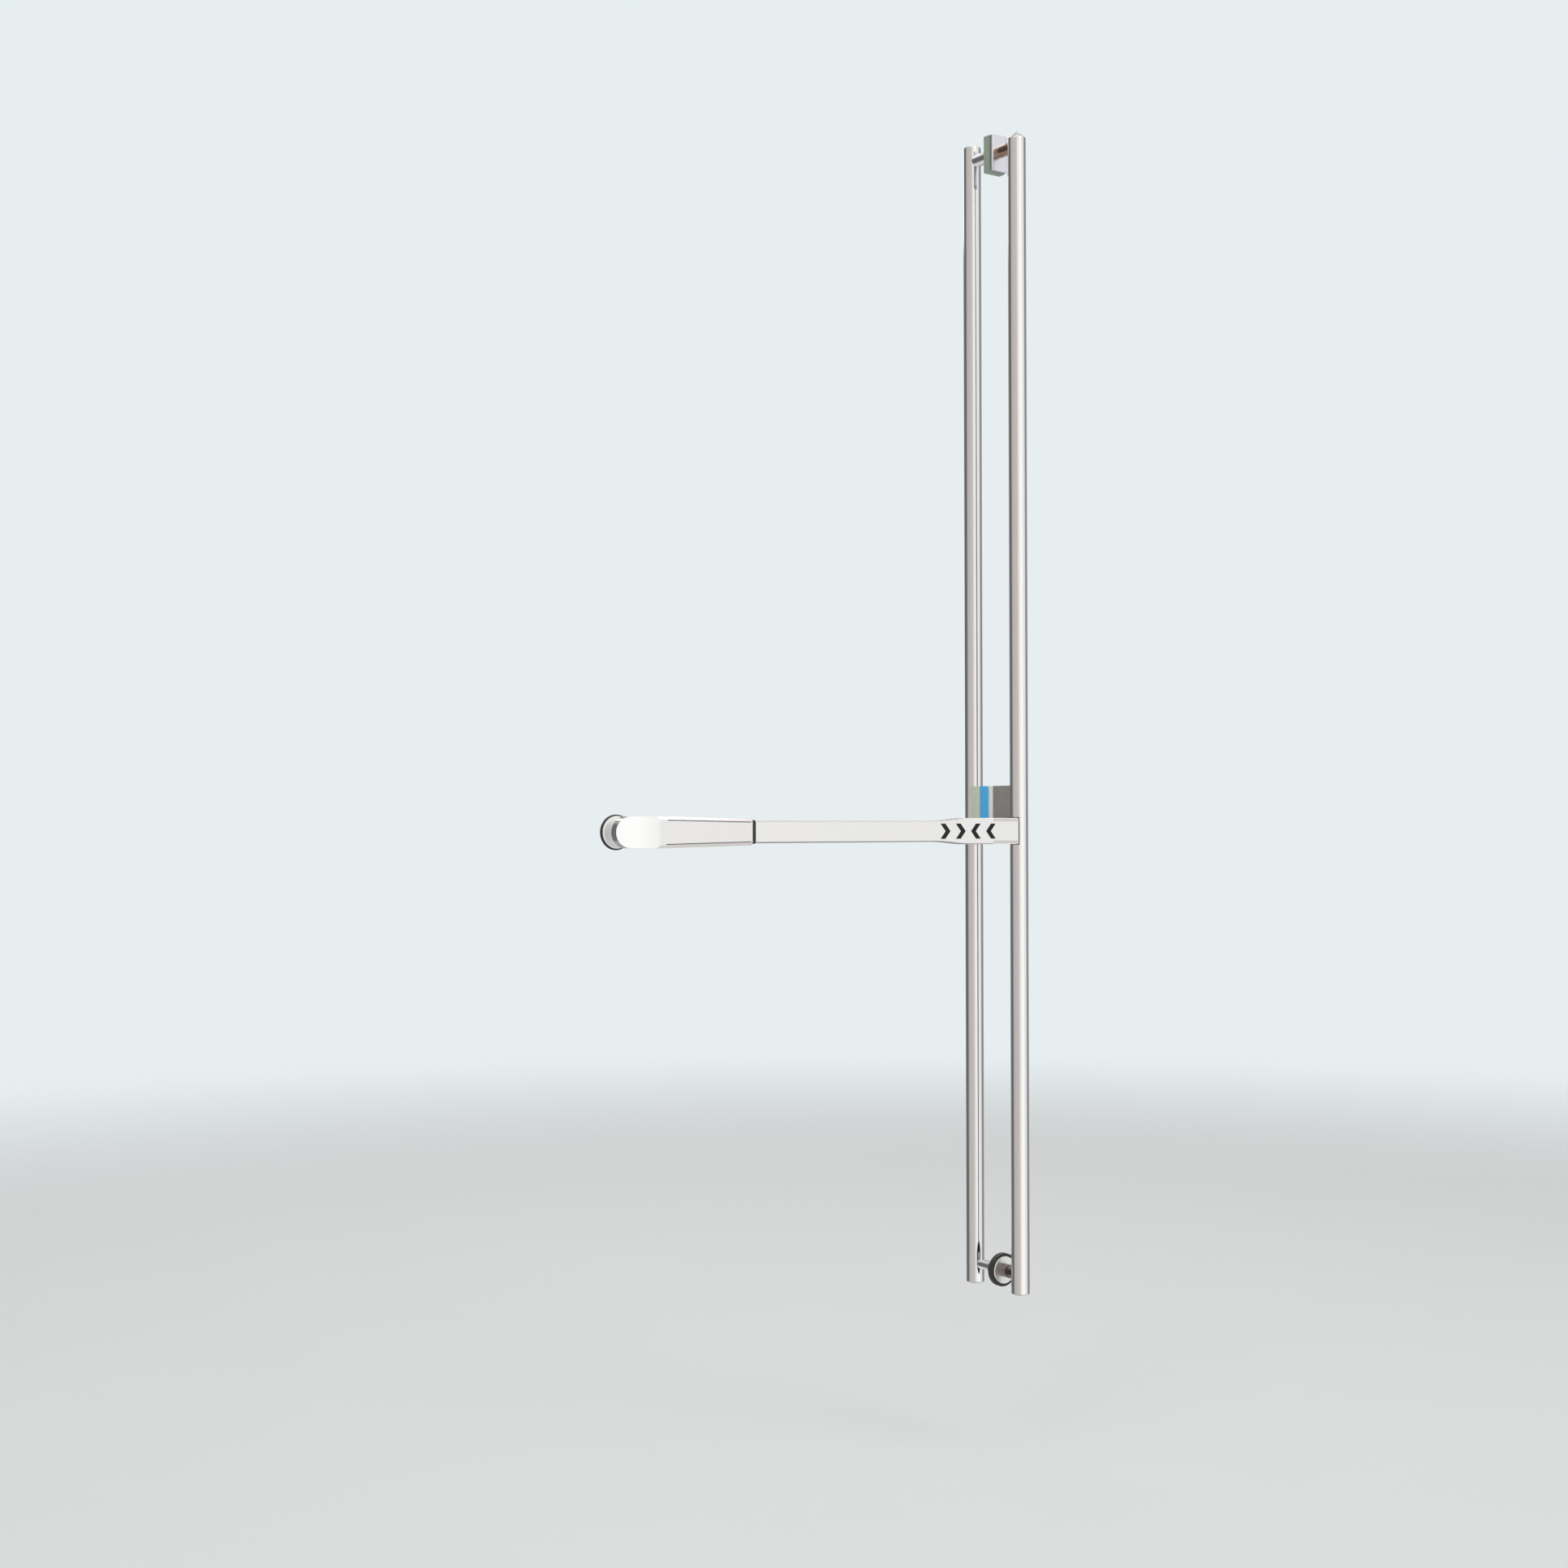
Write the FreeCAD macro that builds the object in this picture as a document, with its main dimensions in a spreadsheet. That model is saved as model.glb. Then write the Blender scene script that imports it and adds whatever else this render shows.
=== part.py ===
import FreeCAD, Part
import math
import os
import Sketcher
from FreeCAD import Placement, Rotation, Vector

# Panic exit bar for a frameless glass door leaf: a latch tube inside, a pull tube outside,
# and a hinged push bar that draws the latch rod down through a bell crank.
# X runs from the hinge side to the lock side, Y from the inside to the outside, Z up.
# The origin lies on the leaf's inner face, level with the bar, in line with the tubes.

SIZES = [
    ("glass_thick", 12.7, "door leaf"),
    ("gasket_thick", 0.8, "gasket under each foot"),
    ("tube_dia", 28.6, "latch tube and pull tube"),
    ("tube_wall", 1.65, "wall of both tubes"),
    ("tube_stand_off", 48.8, "tube axis to glass face"),
    ("top_level", 1082, "bar centre up to the top posts"),
    ("bottom_level", 692.5, "bar centre down to the bottom posts"),
    ("latch_tube_over", 9, "latch tube above the top posts"),
    ("pull_tube_over", 24, "pull tube above the top posts"),
    ("tube_under", 30.3, "both tubes below the bottom posts"),
    ("boss_span", 700, "tube axis to the boss of the fixed arm"),
    ("hinge_span", 520, "tube axis to the bar's hinge pin"),
    ("hinge_deep", 8.3, "bar face to the hinge pin"),
    ("hinge_to_joint", 11.6, "hinge pin to the joint"),
    ("bar_proud", 11, "bar face in front of the tube axis"),
    ("bar_depth", 14, "bar and arm, front to back"),
    ("bar_half", 16.1, "half height of the bar"),
    ("bar_end_half", 20.3, "half height of the bar at the tube"),
    ("bar_wall", 3, "front wall of bar and arm"),
    ("bar_edge", 1.8, "chamfer round the bar's face"),
    ("bar_gap", 8.8, "tube axis to the end of the bar"),
    ("flare_set", 99.7, "bar end to the wide end of the flare"),
    ("flare_long", 71.5, "flare, from wide to narrow"),
    ("bevel_long", 52.2, "bevel at the bar's end"),
    ("bevel_up", 5.6, "height of the bar's end bevel"),
    ("bevel_in", 2.2, "depth of the bar's end bevel"),
    ("mark_set", 157, "bar end to the first press-here mark"),
    ("mark_pitch", 29.9, "press-here marks"),
    ("mark_width", 19.4, "press-here mark"),
    ("mark_half", 11.6, "half height of a press-here mark"),
    ("mark_stroke", 9.6, "stroke of a press-here mark"),
    ("mark_deep", 0.8, "recess of a press-here mark"),
    ("arm_half", 19.1, "half height of the arm at the joint"),
    ("boss_half", 22.2, "half height of the arm at the boss"),
    ("joint_width", 5.5, "joint between arm and bar"),
    ("arm_edge_up", 4.2, "height of the bevel along the arm"),
    ("arm_edge_in", 1.9, "depth of the bevel along the arm"),
    ("arm_line", 1.3, "groove beside the arm's bevels"),
    ("line_deep", 0.8, "depth of the groove"),
    ("sweep_long", 38, "boss centre to the flat of the arm"),
    ("sweep_radius", 215, "sweep of the arm's face at the boss"),
    ("sweep_drop", 18.5, "sweep, front to back"),
    ("root_deep", 17.8, "back of the arm to the boss body"),
    ("case_share", 0.444, "half width of the case over the tube's diameter"),
    ("case_foot", 16, "bottom of the case below the bar centre"),
    ("case_back", 5, "back plate of the case"),
    ("crank_arm", 30, "crank pivot to nose, and pivot height"),
    ("pivot_gap", 10.5, "latch tube's back to the crank pivot"),
    ("rod_dia", 8, "latch rod"),
    ("bolt_dia", 14, "latch bolt"),
    ("cap_rim", 1.2, "rim of the latch tube's cap"),
    ("cap_cone", 5.3, "cone of the latch tube's cap"),
    ("bolt_cone", 4.9, "cone at the bolt's tip"),
    ("barrel_dia", 14, "stud barrel in the glass hole"),
    ("block_half", 15.2, "half width of the top block"),
    ("block_over", 26.7, "top edge of the leaf above the top posts"),
    ("block_height", 57.4, "top block"),
    ("block_proud", 7.7, "top block in front of the glass"),
    ("lip_deep", 3.5, "outer block's lip in the leaf's cut-out"),
    ("foot_dia", 50, "boss foot, over its rubber seal"),
    ("seal_wide", 2.2, "rubber seal round the boss flange"),
    ("rosette_dia", 23, "outer rosette"),
    ("collar_dia", 43.4, "collar of the bottom post"),
    ("bumper_dia", 52, "bumper ring round the collar"),
]

doc = FreeCAD.newDocument("panic_exit_bar")
sheet = doc.addObject("Spreadsheet::Sheet", "Sizes")


class Size:
    """A number together with the sheet formula that gives it."""

    def __init__(self, value, text):
        self.value = value
        self.text = text

    def __add__(self, other):
        return Size(self.value + number(other), f"({self.text} + {formula(other)})")

    def __sub__(self, other):
        return Size(self.value - number(other), f"({self.text} - {formula(other)})")

    def __mul__(self, other):
        return Size(self.value * number(other), f"({self.text} * {formula(other)})")

    def __truediv__(self, other):
        return Size(self.value / number(other), f"({self.text} / {formula(other)})")

    def __neg__(self):
        return Size(-self.value, f"(0 - {self.text})")

    def __rsub__(self, other):
        return Size(number(other) - self.value, f"({formula(other)} - {self.text})")

    __radd__ = __add__
    __rmul__ = __mul__


def number(size):
    return size.value if isinstance(size, Size) else float(size)


def formula(size):
    return size.text if isinstance(size, Size) else f"({float(size)})"


def root(size):
    return Size(math.sqrt(size.value), f"sqrt({size.text})")


class Given:
    """The driving sizes, one attribute for each alias in the sheet."""


given = Given()
for row, (alias, value, note) in enumerate(SIZES, start=1):
    sheet.set(f"A{row}", note)
    sheet.set(f"B{row}", str(value))
    sheet.setAlias(f"B{row}", alias)
    setattr(given, alias, Size(float(value), f"Sizes.{alias}"))
doc.recompute()

kept = {}


def keep(item, node):
    """Name a finished sub-part. Its label is its file's name."""
    item.Label = node
    kept[node] = item
    return item


def bind(item, path, size):
    item.setExpression(path, formula(size))


# ---- Part primitives, bound to the sheet ----

def difference(b, a):
    return b - a if isinstance(b, Size) or not isinstance(a, Size) else -(a - b)


def block(name, low, high):
    box = doc.addObject("Part::Box", name)
    for side, letter, a, b in zip(("Length", "Width", "Height"), "xyz", low, high):
        bind(box, side, difference(b, a))
        bind(box, "Placement.Base." + letter, a)
    return box


TURNS = {
    "x": Rotation(Vector(0, 1, 0), 90),
    "y": Rotation(Vector(1, 0, 0), -90),
    "z": Rotation(),
}


def seat(item, axis, across, start):
    """Put a primitive's own Z along an axis, from start, at the two other coordinates."""
    item.Placement = Placement(Vector(), TURNS[axis])
    letters = [letter for letter in "xyz" if letter != axis]
    for letter, place in zip(letters, across):
        bind(item, "Placement.Base." + letter, place)
    bind(item, "Placement.Base." + axis, start)


def bar(name, axis, across, start, end, radius):
    """A round bar along an axis. across holds its two other coordinates."""
    piece = doc.addObject("Part::Cylinder", name)
    bind(piece, "Radius", radius)
    bind(piece, "Height", difference(end, start))
    seat(piece, axis, across, start)
    return piece


def taper(name, axis, across, start, end, radius, end_radius):
    piece = doc.addObject("Part::Cone", name)
    bind(piece, "Radius1", radius)
    bind(piece, "Radius2", end_radius)
    bind(piece, "Height", difference(end, start))
    seat(piece, axis, across, start)
    return piece


def fuse(name, pieces):
    union = doc.addObject("Part::MultiFuse", name)
    union.Shapes = pieces
    union.Refine = True
    return union


def cut(name, base, tools):
    result = doc.addObject("Part::Cut", name)
    result.Base = base
    result.Tool = tools[0] if len(tools) == 1 else fuse(name + "_tools", tools)
    return result


def group(name, pieces):
    several = doc.addObject("Part::Compound", name)
    several.Links = pieces
    return several


# ---- PartDesign bodies ----

PLANE_OFFSETS = {"XY_Plane": 1, "XZ_Plane": -1, "YZ_Plane": 1}


def new_sketch(body, name, plane, level=0, shift=None):
    """A sketch on one of the body's own planes. level is its global place along the normal."""
    sketch = body.newObject("Sketcher::SketchObject", name)
    role = [item for item in body.Origin.OriginFeatures if item.Role == plane][0]
    sketch.AttachmentSupport = [(role, "")]
    sketch.MapMode = "FlatFace"
    bind(sketch, "AttachmentOffset.Base.z", level * PLANE_OFFSETS[plane])
    for letter, place in (shift or {}).items():
        bind(sketch, "AttachmentOffset.Base." + letter, place)
    return sketch


def fix_point(sketch, geometry, end, across, up):
    """Fix one end of an edge at (across, up), bound to the sheet."""
    for kind, axis, place in (("DistanceX", -2, across), ("DistanceY", -1, up)):
        if not isinstance(place, Size) and place == 0:
            sketch.addConstraint(Sketcher.Constraint("PointOnObject", geometry, end, axis))
            continue
        rule = Sketcher.Constraint(kind, -1, 1, geometry, end, number(place))
        index = sketch.addConstraint(rule)
        if isinstance(place, Size):
            bind(sketch, f"Constraints[{index}]", place)


def arc_between(start, end, radius, side):
    """Circle arc from start to end, turning left (1) or right (-1)."""
    chord = end - start
    reach = math.sqrt(max(radius * radius - chord.Length ** 2 / 4, 0))
    normal = Vector(-chord.y, chord.x, 0).normalize() * (reach * side)
    centre = (start + end) * 0.5 + normal
    first, last = (start, end) if side > 0 else (end, start)
    angles = [math.atan2(point.y - centre.y, point.x - centre.x) for point in (first, last)]
    if angles[1] < angles[0]:
        angles[1] += 2 * math.pi
    return Part.ArcOfCircle(Part.Circle(centre, Vector(0, 0, 1), radius), *angles)


def outline(sketch, corners):
    """A closed outline. A corner is (across, up), or (across, up, radius, side) after an arc."""
    places = [Vector(number(corner[0]), number(corner[1]), 0) for corner in corners]
    ends = []
    for index, corner in enumerate(corners):
        start, end = places[index - 1], places[index]
        if len(corner) == 2:
            geometry = sketch.addGeometry(Part.LineSegment(start, end))
            ends.append((geometry, 1, 2))
        else:
            radius, side = corner[2], corner[3]
            geometry = sketch.addGeometry(arc_between(start, end, number(radius), side))
            ends.append((geometry, 1, 2) if side > 0 else (geometry, 2, 1))
    for index, corner in enumerate(corners):
        geometry, start, end = ends[index]
        after, after_start = ends[(index + 1) % len(ends)][:2]
        sketch.addConstraint(Sketcher.Constraint("Coincident", geometry, end, after, after_start))
        fix_point(sketch, geometry, end, corner[0], corner[1])
        if len(corner) == 4:
            rule = sketch.addConstraint(Sketcher.Constraint("Radius", geometry, number(corner[2])))
            if isinstance(corner[2], Size):
                bind(sketch, f"Constraints[{rule}]", corner[2])
    return sketch


def circle(sketch, across, up, radius):
    place = Vector(number(across), number(up), 0)
    geometry = sketch.addGeometry(Part.Circle(place, Vector(0, 0, 1), number(radius)))
    fix_point(sketch, geometry, 3, across, up)
    rule = sketch.addConstraint(Sketcher.Constraint("Radius", geometry, number(radius)))
    if isinstance(radius, Size):
        bind(sketch, f"Constraints[{rule}]", radius)
    return sketch


def extrude(body, kind, name, sketch, length, reverse=False, both=False):
    """A Pad or a Pocket. both makes it run length to each side of the sketch."""
    feature = body.newObject("PartDesign::" + kind, name)
    feature.Profile = sketch
    feature.Reversed = reverse
    if both:
        feature.SideType = "Symmetric"
        length = length * 2
    bind(feature, "Length", length)
    return feature


def turn(body, name, sketch):
    feature = body.newObject("PartDesign::Revolution", name)
    feature.Profile = sketch
    feature.ReferenceAxis = (sketch, ["V_Axis"])
    feature.Angle = 360
    return feature


def turned_blank(name, across, profile, plane="XZ_Plane"):
    """A turned body, about Z unless told otherwise. profile is (radius, place along the axis)."""
    body = doc.addObject("PartDesign::Body", name + "_blank")
    sketch = new_sketch(body, name + "_profile", plane, across[1], {"x": across[0]})
    outline(sketch, profile)
    turn(body, name + "_turned", sketch)
    return body


def turned(node, across, profile):
    """A finished piece turned about Y."""
    keep(turned_blank(node, across, profile, "XY_Plane"), node)


def edge_names(feature, wanted):
    """Names of the feature's edges that a test on the edge picks."""
    return [f"Edge{n}" for n, edge in enumerate(feature.Shape.Edges, start=1) if wanted(edge)]


def dress(body, kind, name, feature, wanted, size):
    """A Chamfer or a Fillet on the edges that a test picks."""
    doc.recompute()
    names = edge_names(feature, wanted)
    dressed = body.newObject("PartDesign::" + kind, name)
    dressed.Base = (feature, names)
    bind(dressed, "Size" if kind == "Chamfer" else "Radius", size)
    return dressed


def lies_on(letter, place, slack=0.01):
    """A test for edges that lie wholly on a plane."""
    def test(edge):
        box = edge.BoundBox
        low, high = getattr(box, letter.upper() + "Min"), getattr(box, letter.upper() + "Max")
        return abs(low - number(place)) < slack and abs(high - number(place)) < slack
    return test


def face_edges(end):
    """A test for the edges round the front face, other than the one at the joint."""
    def test(edge):
        return lies_on("y", bar_front)(edge) and not lies_on("x", end)(edge)
    return test


# ---- levels and radii that several sub-parts share ----

tube_r = given.tube_dia / 2
tube_bore = tube_r - given.tube_wall
slug_r = tube_bore - 0.05                    # what is pushed into a tube
latch_y = -given.tube_stand_off
pull_y = given.glass_thick + given.tube_stand_off
inner_seat = -given.gasket_thick             # metal faces that clamp the leaf
outer_seat = given.glass_thick + given.gasket_thick
bar_front = latch_y - given.bar_proud
bar_rear = bar_front + given.bar_depth
bar_inside = bar_front + given.bar_wall
bar_end = -given.bar_gap                     # the bar stops inside the tube's side
window_x = bar_end + 0.5
window_half = given.bar_end_half + 1.2
hinge_x = -given.hinge_span
hinge_y = bar_front + given.hinge_deep
knuckle_r = 5.2
pin_r = 3.0
pin_half = 18.6
arm_end = hinge_x + given.hinge_to_joint
bar_start = arm_end + given.joint_width
boss_x = -given.boss_span
root_y = bar_rear + given.root_deep
flat_start = boss_x + given.sweep_long
case_half = given.tube_dia * given.case_share
case_low = -given.case_foot
case_wall = 4.2
plate_front = inner_seat - given.case_back
case_web = latch_y + tube_r + 3.5            # floor of the case's hollow
pivot_y = latch_y + tube_r + given.pivot_gap
pivot_z = given.crank_arm
nose_r = 5.0
slot_half, slot_low = 6.5, -7.2              # the crank's slot in tube and case
slot_high = pivot_z + 8
rod_r = given.rod_dia / 2
bolt_r = given.bolt_dia / 2
barrel_r = given.barrel_dia / 2
gasket_bore = barrel_r + 1.3
stud_r = 3.0
heavy_stud_r = 4.0
plug_stud_end = 5.0                          # tube axis to the end of the bottom stud
top_post_r, bottom_post_r = 9.5, 10.5
post_grub_r, grub_sunk = 2.5, 0.4
running = 0.06                               # radial clearance of a sliding fit
top_z = given.top_level
bottom_z = -given.bottom_level
latch_top = top_z + given.latch_tube_over
pull_top = top_z + given.pull_tube_over
tube_low = bottom_z - given.tube_under
cap_plate = 2.0
guide_low = pivot_z + 14
guide_high = guide_low + 28
spring_high = guide_high + 76
guide_levels = {"low": latch_top - 691, "high": latch_top - 351}
screw_levels = {"low": guide_low + 5, "high": guide_low + 18}
case_top = guide_low + 27.2
case_screw_r, block_screw_r, grub_r, corner_r = 2.5, 3.0, 2.0, 1.25
spacer_low = 18.0
dowel_r = 2.0
web_half, tongue_half = 13.0, 8.0            # necks of the knuckle and of the tongue
dowel_y = bar_front + 6.75


def latch_tube():
    """The inside tube, with the bar's window, the crank's slot and the stud holes."""
    outer = bar("latch_tube_outside", "z", (0, latch_y), tube_low + cap_plate, latch_top, tube_r)
    low, high = tube_low + (cap_plate - 1), latch_top + 1
    bore = bar("latch_tube_bore", "z", (0, latch_y), low, high, tube_bore)
    window = block("bar_window", (-tube_r - 1, latch_y - tube_r - 1, -window_half),
                   (window_x, latch_y + tube_r + 1, window_half))
    slot = block("crank_slot", (-slot_half, latch_y, slot_low), (slot_half, latch_y + tube_r + 1, slot_high))
    holes = [
        bar(f"latch_stud_hole_{index}", "y", (0, level), latch_y, latch_y + tube_r + 1, stud_r)
        for index, level in enumerate((top_z, bottom_z))
    ]
    holes += [
        bar("case_screw_hole_" + name, "y", (0, level), latch_y, latch_y + tube_r + 1, case_screw_r)
        for name, level in screw_levels.items()
    ]
    holes += [
        bar("guide_screw_hole_" + name, "y", (0, level), latch_y, latch_y + tube_r + 1, grub_r)
        for name, level in guide_levels.items()
    ]
    keep(cut("latch_tube_solid", outer, [bore, window, slot] + holes), "latch_tube")


def latch_tube_caps():
    """A coned top cap that guides the bolt, and a bottom plug that takes the bottom stud."""
    bore = bolt_r + running
    rim = latch_top + given.cap_rim
    mouth = rim + given.cap_cone
    cap = turned_blank("latch_top_cap", (0, latch_y), [
        (bore, latch_top - 26), (slug_r, latch_top - 26), (slug_r, latch_top), (tube_r, latch_top),
        (tube_r, rim), (bolt_r + 0.9, mouth), (bore, mouth)])
    hole = bar("top_cap_stud_hole", "y", (0, top_z), latch_y, latch_y + tube_r, stud_r)
    keep(cut("latch_top_cap_solid", cap, [hole]), "latch_top_cap")
    plug = plug_cap("latch_bottom_plug", latch_y, tube_low, tube_low + cap_plate, bottom_z + 14, 1)
    hole = bar("bottom_plug_stud_hole", "y", (0, bottom_z), latch_y, latch_y + tube_r, stud_r)
    keep(cut("latch_bottom_plug_solid", plug, [hole]), "latch_bottom_plug")


def plug_cap(name, axis_y, outside, shoulder, inside, ease):
    """A flanged plug for a tube's end: outside face, shoulder on the tube, inner end."""
    slope = ease if number(shoulder) > number(outside) else -ease
    return turned_blank(name, (0, axis_y), [
        (0, outside), (tube_r - ease, outside), (tube_r, outside + slope), (tube_r, shoulder),
        (slug_r, shoulder), (slug_r, inside), (0, inside)])


def latch_gear():
    """Bolt, rod, yoke and draw pin, which slide together in the latch tube."""
    shoulder = latch_top + given.cap_rim + given.cap_cone + 0.5
    bolt_low = latch_top - 55
    rod_top = bolt_low + 12
    blank = turned_blank("latch_bolt", (0, latch_y), [
        (0, rod_top), (rod_r, rod_top), (rod_r, bolt_low), (bolt_r, bolt_low), (bolt_r, shoulder),
        (1.2, shoulder + given.bolt_cone), (0, shoulder + given.bolt_cone)])
    keep(blank, "latch_bolt")

    yoke_low, yoke_high = pivot_z - 8, pivot_z + 12
    keep(bar("latch_rod_bar", "z", (0, latch_y), yoke_high, rod_top, rod_r), "latch_rod")
    yoke = bar("yoke_blank", "z", (0, latch_y), yoke_low, yoke_high, 6)
    slot = block("yoke_slot", (-2.3, latch_y - 7, yoke_low - 1), (2.3, latch_y + 7, yoke_high - 2.5))
    eye = bar("yoke_eye", "x", (latch_y, pivot_z), -7, 7, 2.5)
    keep(cut("rod_yoke_solid", yoke, [slot, eye]), "rod_yoke")
    keep(bar("draw_pin_bar", "x", (latch_y, pivot_z), -5.4, 5.4, 2.5), "draw_pin")


def rod_guides():
    """A long steel guide that also anchors the case, two nylon guides, spring and collar."""
    def guide(name, low, high, screw_holes):
        disc = bar(name + "_disc", "z", (0, latch_y), low, high, slug_r)
        bore = bar(name + "_bore", "z", (0, latch_y), low - 1, high + 1, rod_r + running)
        return cut(name + "_solid", disc, [bore] + screw_holes)

    tapped = [
        bar("guide_tapping_" + name, "y", (0, level), latch_y + rod_r + 1.5, latch_y + tube_r, case_screw_r)
        for name, level in screw_levels.items()
    ]
    keep(guide("lower_guide", guide_low, guide_high, tapped), "lower_rod_guide")
    guides, screws = [], []
    tip, head = latch_y + tube_r - 7, latch_y + tube_r - 0.2
    for name, level in guide_levels.items():
        hole = bar("grub_hole_" + name, "y", (0, level), tip, latch_y + tube_r, grub_r)
        guides.append(guide("upper_guide_" + name, level - 8, level + 8, [hole]))
        screws.append(bar("grub_screw_" + name, "y", (0, level), tip, head, grub_r))
    keep(group("rod_guide_pair", guides), "upper_rod_guides")
    keep(group("rod_guide_grubs", screws), "guide_grub_screws")

    collar_r = slug_r - 3.6
    collar = bar("collar_disc", "z", (0, latch_y), spring_high, spring_high + 8, collar_r)
    bore = bar("collar_bore", "z", (0, latch_y), spring_high - 1, spring_high + 9, rod_r)
    keep(cut("spring_collar_solid", collar, [bore]), "spring_collar")

    wire_r, coil_r, turns = 0.7, 5.6, 14
    coil = doc.addObject("Part::Helix", "spring_coil")
    length = spring_high - guide_high - 2 * wire_r - 0.2
    bind(coil, "Height", length)
    bind(coil, "Pitch", length / turns)
    bind(coil, "Radius", coil_r)
    bind(coil, "Placement.Base.y", latch_y)
    bind(coil, "Placement.Base.z", guide_high + (wire_r + 0.1))
    wire = doc.addObject("Part::Circle", "spring_wire")
    wire.Radius = wire_r
    wire.Placement = Placement(Vector(coil_r, 0, 0), Rotation(Vector(1, 0, 0), 90))
    bind(wire, "Placement.Base.y", latch_y)
    bind(wire, "Placement.Base.z", guide_high + (wire_r + 0.1))
    doc.recompute()
    spring = doc.addObject("Part::Sweep", "spring_sweep")
    spring.Sections = [wire]
    spring.Spine = (coil, [f"Edge{n + 1}" for n in range(len(coil.Shape.Edges))])
    spring.Solid = True
    spring.Frenet = True
    keep(spring, "return_spring")


def crank():
    """Bell crank: one arm hangs to the pusher, the forked arm draws the latch rod."""
    hub_half = case_half - case_wall - 0.3
    reach = pivot_y - latch_y
    pieces = [
        bar("crank_hub", "x", (pivot_y, pivot_z), -hub_half, hub_half, 6.5),
        block("crank_leg", (-4, pivot_y - 4, 0), (4, pivot_y + 4, pivot_z)),
        bar("crank_nose", "x", (pivot_y, 0), -4, 4, nose_r),
        block("crank_fork", (-2, pivot_y - reach - 6.2, pivot_z - 5), (2, pivot_y, pivot_z + 5)),
    ]
    gap = block("fork_gap", (-3, pivot_y - reach - 8, pivot_z - 2.8),
                (3, pivot_y - reach + 3.2, pivot_z + 2.8))
    bush_r = 4.2
    eye = bar("crank_eye", "x", (pivot_y, pivot_z), -hub_half - 1, hub_half + 1, bush_r)
    keep(cut("bell_crank_solid", fuse("crank_blank", pieces), [gap, eye]), "bell_crank")
    bush = bar("crank_bush_wall", "x", (pivot_y, pivot_z), -hub_half, hub_half, bush_r)
    bore = bar("crank_bush_bore", "x", (pivot_y, pivot_z), -hub_half - 1, hub_half + 1, pin_r + running)
    keep(cut("crank_bush_solid", bush, [bore]), "crank_bush")
    pin = bar("crank_pin_bar", "x", (pivot_y, pivot_z), -case_half + 1.5, case_half, pin_r)
    keep(pin, "crank_pin")


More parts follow.
